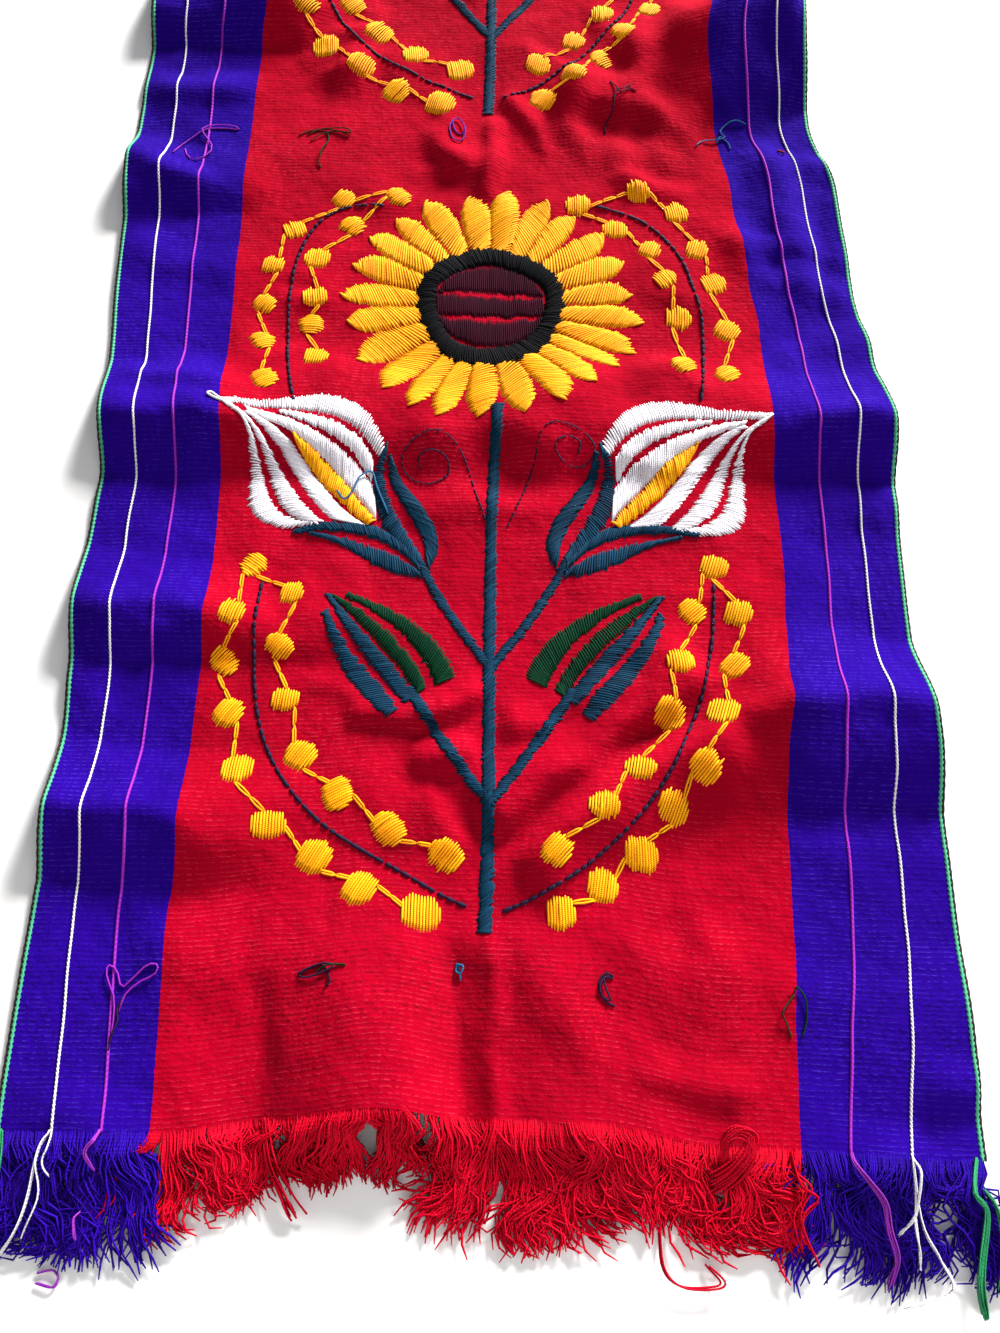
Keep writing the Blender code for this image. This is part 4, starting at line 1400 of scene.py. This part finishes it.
def fringe_headings(draw, tuft, share):
    """Which way each yarn runs, in radians from straight out, at each share of its length."""
    count = len(tuft)
    lean = tufted(draw, tuft, 0.11, 0.07)
    sweep = tufted(draw, tuft, 0.55, 0.26)
    phase = draw.uniform(0.0, FULL_TURN, (TUFTS, 2))[tuft] + draw.normal(0.0, 0.38, (count, 2))
    size = draw.uniform(0.6, 1.3, (TUFTS, 2))[tuft]
    wander = np.zeros((count, len(share)))
    for number, (turns, swing) in enumerate(YARN_WAVES):
        turned = np.sin(FULL_TURN * turns * share[None, :] + phase[:, number:number + 1])
        wander = wander + swing * size[:, number:number + 1] * turned
    grown = softened((share - 0.03) / 0.30)[None, :]
    heading = lean[:, None] + sweep[:, None] * share[None, :] ** 1.4 + wander * grown
    looped = draw.uniform(0.0, 1.0, count) < LOOPED_SHARE
    turn = draw.uniform(2.0, 3.8, count) * np.sign(draw.normal(0.0, 1.0, count))
    return heading + np.where(looped, turn, 0.0)[:, None] * softened((share[None, :] - 0.50) / 0.45)


def fringe_lengths(draw, near, across, tuft):
    reach = np.full_like(across, FAR_REACH)
    if near:
        table = np.array(NEAR_REACH, float) * MM
        reach = np.interp(across, table[:, 0], table[:, 1])
    length = reach * (1.08 + tufted(draw, tuft, 0.06, 0.08))
    return np.clip(length, *YARN_LENGTHS)


def kept_in_width(x):
    """Draws in the yarns that wander past the cloth's sides."""
    beyond = np.maximum(np.abs(x) - FRINGE_REACH, 0.0)
    within = np.minimum(np.abs(x), FRINGE_REACH)
    return np.sign(x) * (within + FRINGE_MARGIN * np.tanh(beyond / FRINGE_MARGIN))


def fringe_paths(draw, near, across):
    """Yarns that leave the hem, drop to the surface and wander over it in a mat of wavy locks."""
    hem = 0.0 if near else CLOTH_LENGTH
    outward = -1.0 if near else 1.0
    count = len(across)
    share = np.linspace(0.0, 1.0, FRINGE_STEPS)
    place = (across / CLOTH_WIDTH + 0.5) * TUFTS + draw.normal(0.0, 0.20, count)
    tuft = np.floor(place).astype(int).clip(0, TUFTS - 1)
    length = fringe_lengths(draw, near, across, tuft)
    heading = fringe_headings(draw, tuft, share)
    step = length[:, None] / (FRINGE_STEPS - 1)
    dx = summed(np.sin(heading[:, 1:]) * step)
    dy = summed(np.cos(heading[:, 1:]) * step)
    x, y = laid(across, np.full_like(across, hem))
    height = upper_face(across, np.full_like(across, hem)) - ROOT_DEPTH
    height = height - draw.uniform(0.0, ROOT_DEPTH, count)
    away = share[None, :] * length[:, None]
    drop = 1.0 - softened(away / DROP_LENGTH)
    level = 0.45 * draw.uniform(0.0, 1.0, TUFTS)[tuft] + 0.55 * draw.uniform(0.0, 1.0, count)
    mat = MAT_HEIGHT * level[:, None] * softened(away / 0.010) * (1.0 - 0.75 * share[None, :])
    phase = draw.uniform(0.0, FULL_TURN, TUFTS)[tuft] + draw.normal(0.0, 0.5, count)
    rippled = np.sin(FULL_TURN * RIPPLES * share[None, :] + phase[:, None])
    ripple = RIPPLE_HEIGHT * (1.0 + rippled) * (1.0 - drop)
    z = LOWEST_YARN + np.maximum(height[:, None] - LOWEST_YARN, 0.0) * drop + mat + ripple
    x = kept_in_width(x[:, None] + dx)
    y = y[:, None] + outward * (dy - ROOT_INSIDE)
    return np.stack([x + SHIFT_X, y + SHIFT_Y, z], axis=-1)


def lock_paths(draw, lock):
    """The yarns of one lock, side by side, each with small waves of its own."""
    steps = 4 * len(lock.path)
    fine = through(lock.path, steps)
    share = np.linspace(0.0, 1.0, steps)
    paths = []
    for _ in range(lock.yarns):
        aside = draw.normal(0.0, lock.spread, 2) * (0.35 + 0.65 * share[:, None])
        aside = aside + 0.4 * np.sin(11.0 * share[:, None] + draw.uniform(0.0, 6.3, 2)) * share[:, None]
        u, v = ((fine + aside) * MM).T
        over = np.maximum(v, 0.0)
        x, y = laid(u, over)
        top = upper_face(u, over) * (1.0 - softened(-v / LOCK_DROP))
        lifted = lock.height * MM * softened(np.minimum((share + 0.02) / 0.40, (1.2 - share) / 0.5))
        z = top + lifted + LOWEST_YARN + draw.uniform(0.0, 0.0012)
        paths.append(np.stack([kept_in_width(x) + SHIFT_X, y + np.minimum(v, 0.0) + SHIFT_Y, z], axis=-1))
    return np.array(paths)


def fringe(name, finishes):
    draw = np.random.default_rng(SEEDS[name])
    near = name == "fringe_near"
    yarns = NEAR_YARNS if near else FAR_YARNS
    across = np.linspace(-HALF_WIDTH, HALF_WIDTH, yarns)
    across = np.clip(across + draw.normal(0.0, 0.0003, yarns), -HALF_WIDTH, HALF_WIDTH)
    thin = near & (across > THIN_FROM) & (across < THIN_TO)
    across = across[~thin | (draw.uniform(0.0, 1.0, yarns) < THIN_SHARE)]
    paths = fringe_paths(draw, near, across)
    colours = yarn_colour(across, near)
    tubes = {colour: Tubes() for colour in finishes}
    taper = np.ones(FRINGE_STEPS)
    taper[-1] = 0.5
    for colour in finishes:
        chosen = colours == colour
        radii = YARN_RADIUS * taper[None, :] * draw.uniform(0.78, 1.15, (int(chosen.sum()), 1))
        tubes[colour].add(paths[chosen], radii)
    for lock in LOCKS if near else ():
        made = lock_paths(draw, lock)
        tubes[lock.colour].add(made, np.full(made.shape[:2], LOCK_RADIUS))
    pieces = []
    for colour, finish in finishes.items():
        piece = tubes[colour].build(name + "_" + colour, finish, FRINGE_SIDES)
        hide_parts(name)
        pieces.append(piece)
    return pieces


def fringe_finishes():
    def yarn(name, colour, second, spread, sheen, specular, rim=0.6):
        return thread_material(name, colour, second, spread, sheen, 0.7, 0.0016, specular, rim)

    return {
        # The red and blue yarns use the warp colours that are painted lighter than the cloth's, as painted
        # light.
        "red": yarn("red_yarn", YARN_RED_PAINTED_LIGHTER, RED, 0.9, 0.0, 0.06, 0.12),
        "blue": yarn("blue_yarn", YARN_BLUE_PAINTED_LIGHTER, BLUE_DEEP, 0.8, 0.0, 0.06, 0.12),
        "magenta": yarn("magenta_fringe", MAGENTA, (120, 30, 160), 0.7, 0.2, 0.25),
        "white": yarn("white_fringe", WHITE, (220, 214, 222), 0.6, 0.1, 0.3),
        "green": yarn("green_fringe", FRINGE_GREEN, (16, 100, 66), 0.8, 0.2, 0.25),
    }


# Stage, light and camera

FLOOR_HALF_WIDTH = 4.0
WORLD_STRENGTH = 0.35
CAMERA_HEIGHT = 0.544
CAMERA_PITCH = 68.0
CAMERA_ASIDE = 0.0045
CAMERA_BEHIND_HEM = 0.0143
LENS = 33.5


def stage():
    half = FLOOR_HALF_WIDTH
    points = [(-half, -half, 0.0), (half, -half, 0.0), (half, half, 0.0), (-half, half, 0.0)]
    nodes = Nodes("pale_floor")
    tint = nodes.noise(nodes.object_place(), 3.0)
    colour = nodes.mix(tint, shade((244, 243, 242)), shade((238, 236, 234)))
    nodes.done(colour, 0.6, 0.5)
    mesh = bpy.data.meshes.new("floor")
    mesh.from_pydata(points, [], [(0, 1, 2, 3)])
    mesh.materials.append(nodes.material)
    floor = bpy.data.objects.new("floor", mesh)
    bpy.context.scene.collection.objects.link(floor)


def area_light(name, place, aim, wide, long, power, colour):
    light = bpy.data.lights.new(name, "AREA")
    light.shape = "RECTANGLE"
    light.size = wide
    light.size_y = long
    light.energy = power
    light.color = colour
    lamp = bpy.data.objects.new(name, light)
    lamp.location = place
    direction = np.array(aim) - np.array(place)
    lamp.rotation_euler = Vector(direction).to_track_quat("-Z", "Y").to_euler()
    bpy.context.scene.collection.objects.link(lamp)


def lights():
    world = bpy.data.worlds.new("studio")
    world.use_nodes = True
    sky = world.node_tree.nodes["Background"]
    sky.inputs["Color"].default_value = (0.93, 0.96, 1.0, 1.0)
    sky.inputs["Strength"].default_value = WORLD_STRENGTH
    bpy.context.scene.world = world
    middle_y = SHIFT_Y + 0.35
    window_place = (4.3, middle_y + 8.0, 3.2)
    fill_place = (0.1, SHIFT_Y - 0.55, 0.35)
    area_light("window", window_place, (0.0, middle_y, 0.0), 2.8, 2.2, 3700.0, (1.0, 0.98, 0.97))
    area_light("fill", fill_place, (0.0, SHIFT_Y, 0.0), 1.0, 0.5, 4.4, (1.0, 0.98, 0.96))


def camera():
    lens = bpy.data.cameras.new("view")
    lens.lens = LENS
    lens.sensor_width = 36.0
    viewer = bpy.data.objects.new("view", lens)
    viewer.location = (SHIFT_X + CAMERA_ASIDE, SHIFT_Y - CAMERA_BEHIND_HEM, CAMERA_HEIGHT)
    viewer.rotation_euler = (math.radians(90.0 - CAMERA_PITCH), 0.0, 0.0)
    bpy.context.scene.collection.objects.link(viewer)
    bpy.context.scene.camera = viewer


def build():
    camera()
    lights()
    stage()
    bpy.context.scene.view_settings.view_transform = "Standard"
    cloth, area = woven_cloth()
    trims = embroidery() + cords()
    finishes = fringe_finishes()
    fringes = fringe("fringe_near", finishes) + fringe("fringe_far", finishes)
    pieces = [cloth] + trims + fringes
    counts = {piece.name: len(piece.data.loops) - 2 * len(piece.data.polygons) for piece in pieces}
    counts["all"] = sum(counts.values())
    return counts


counts = build()
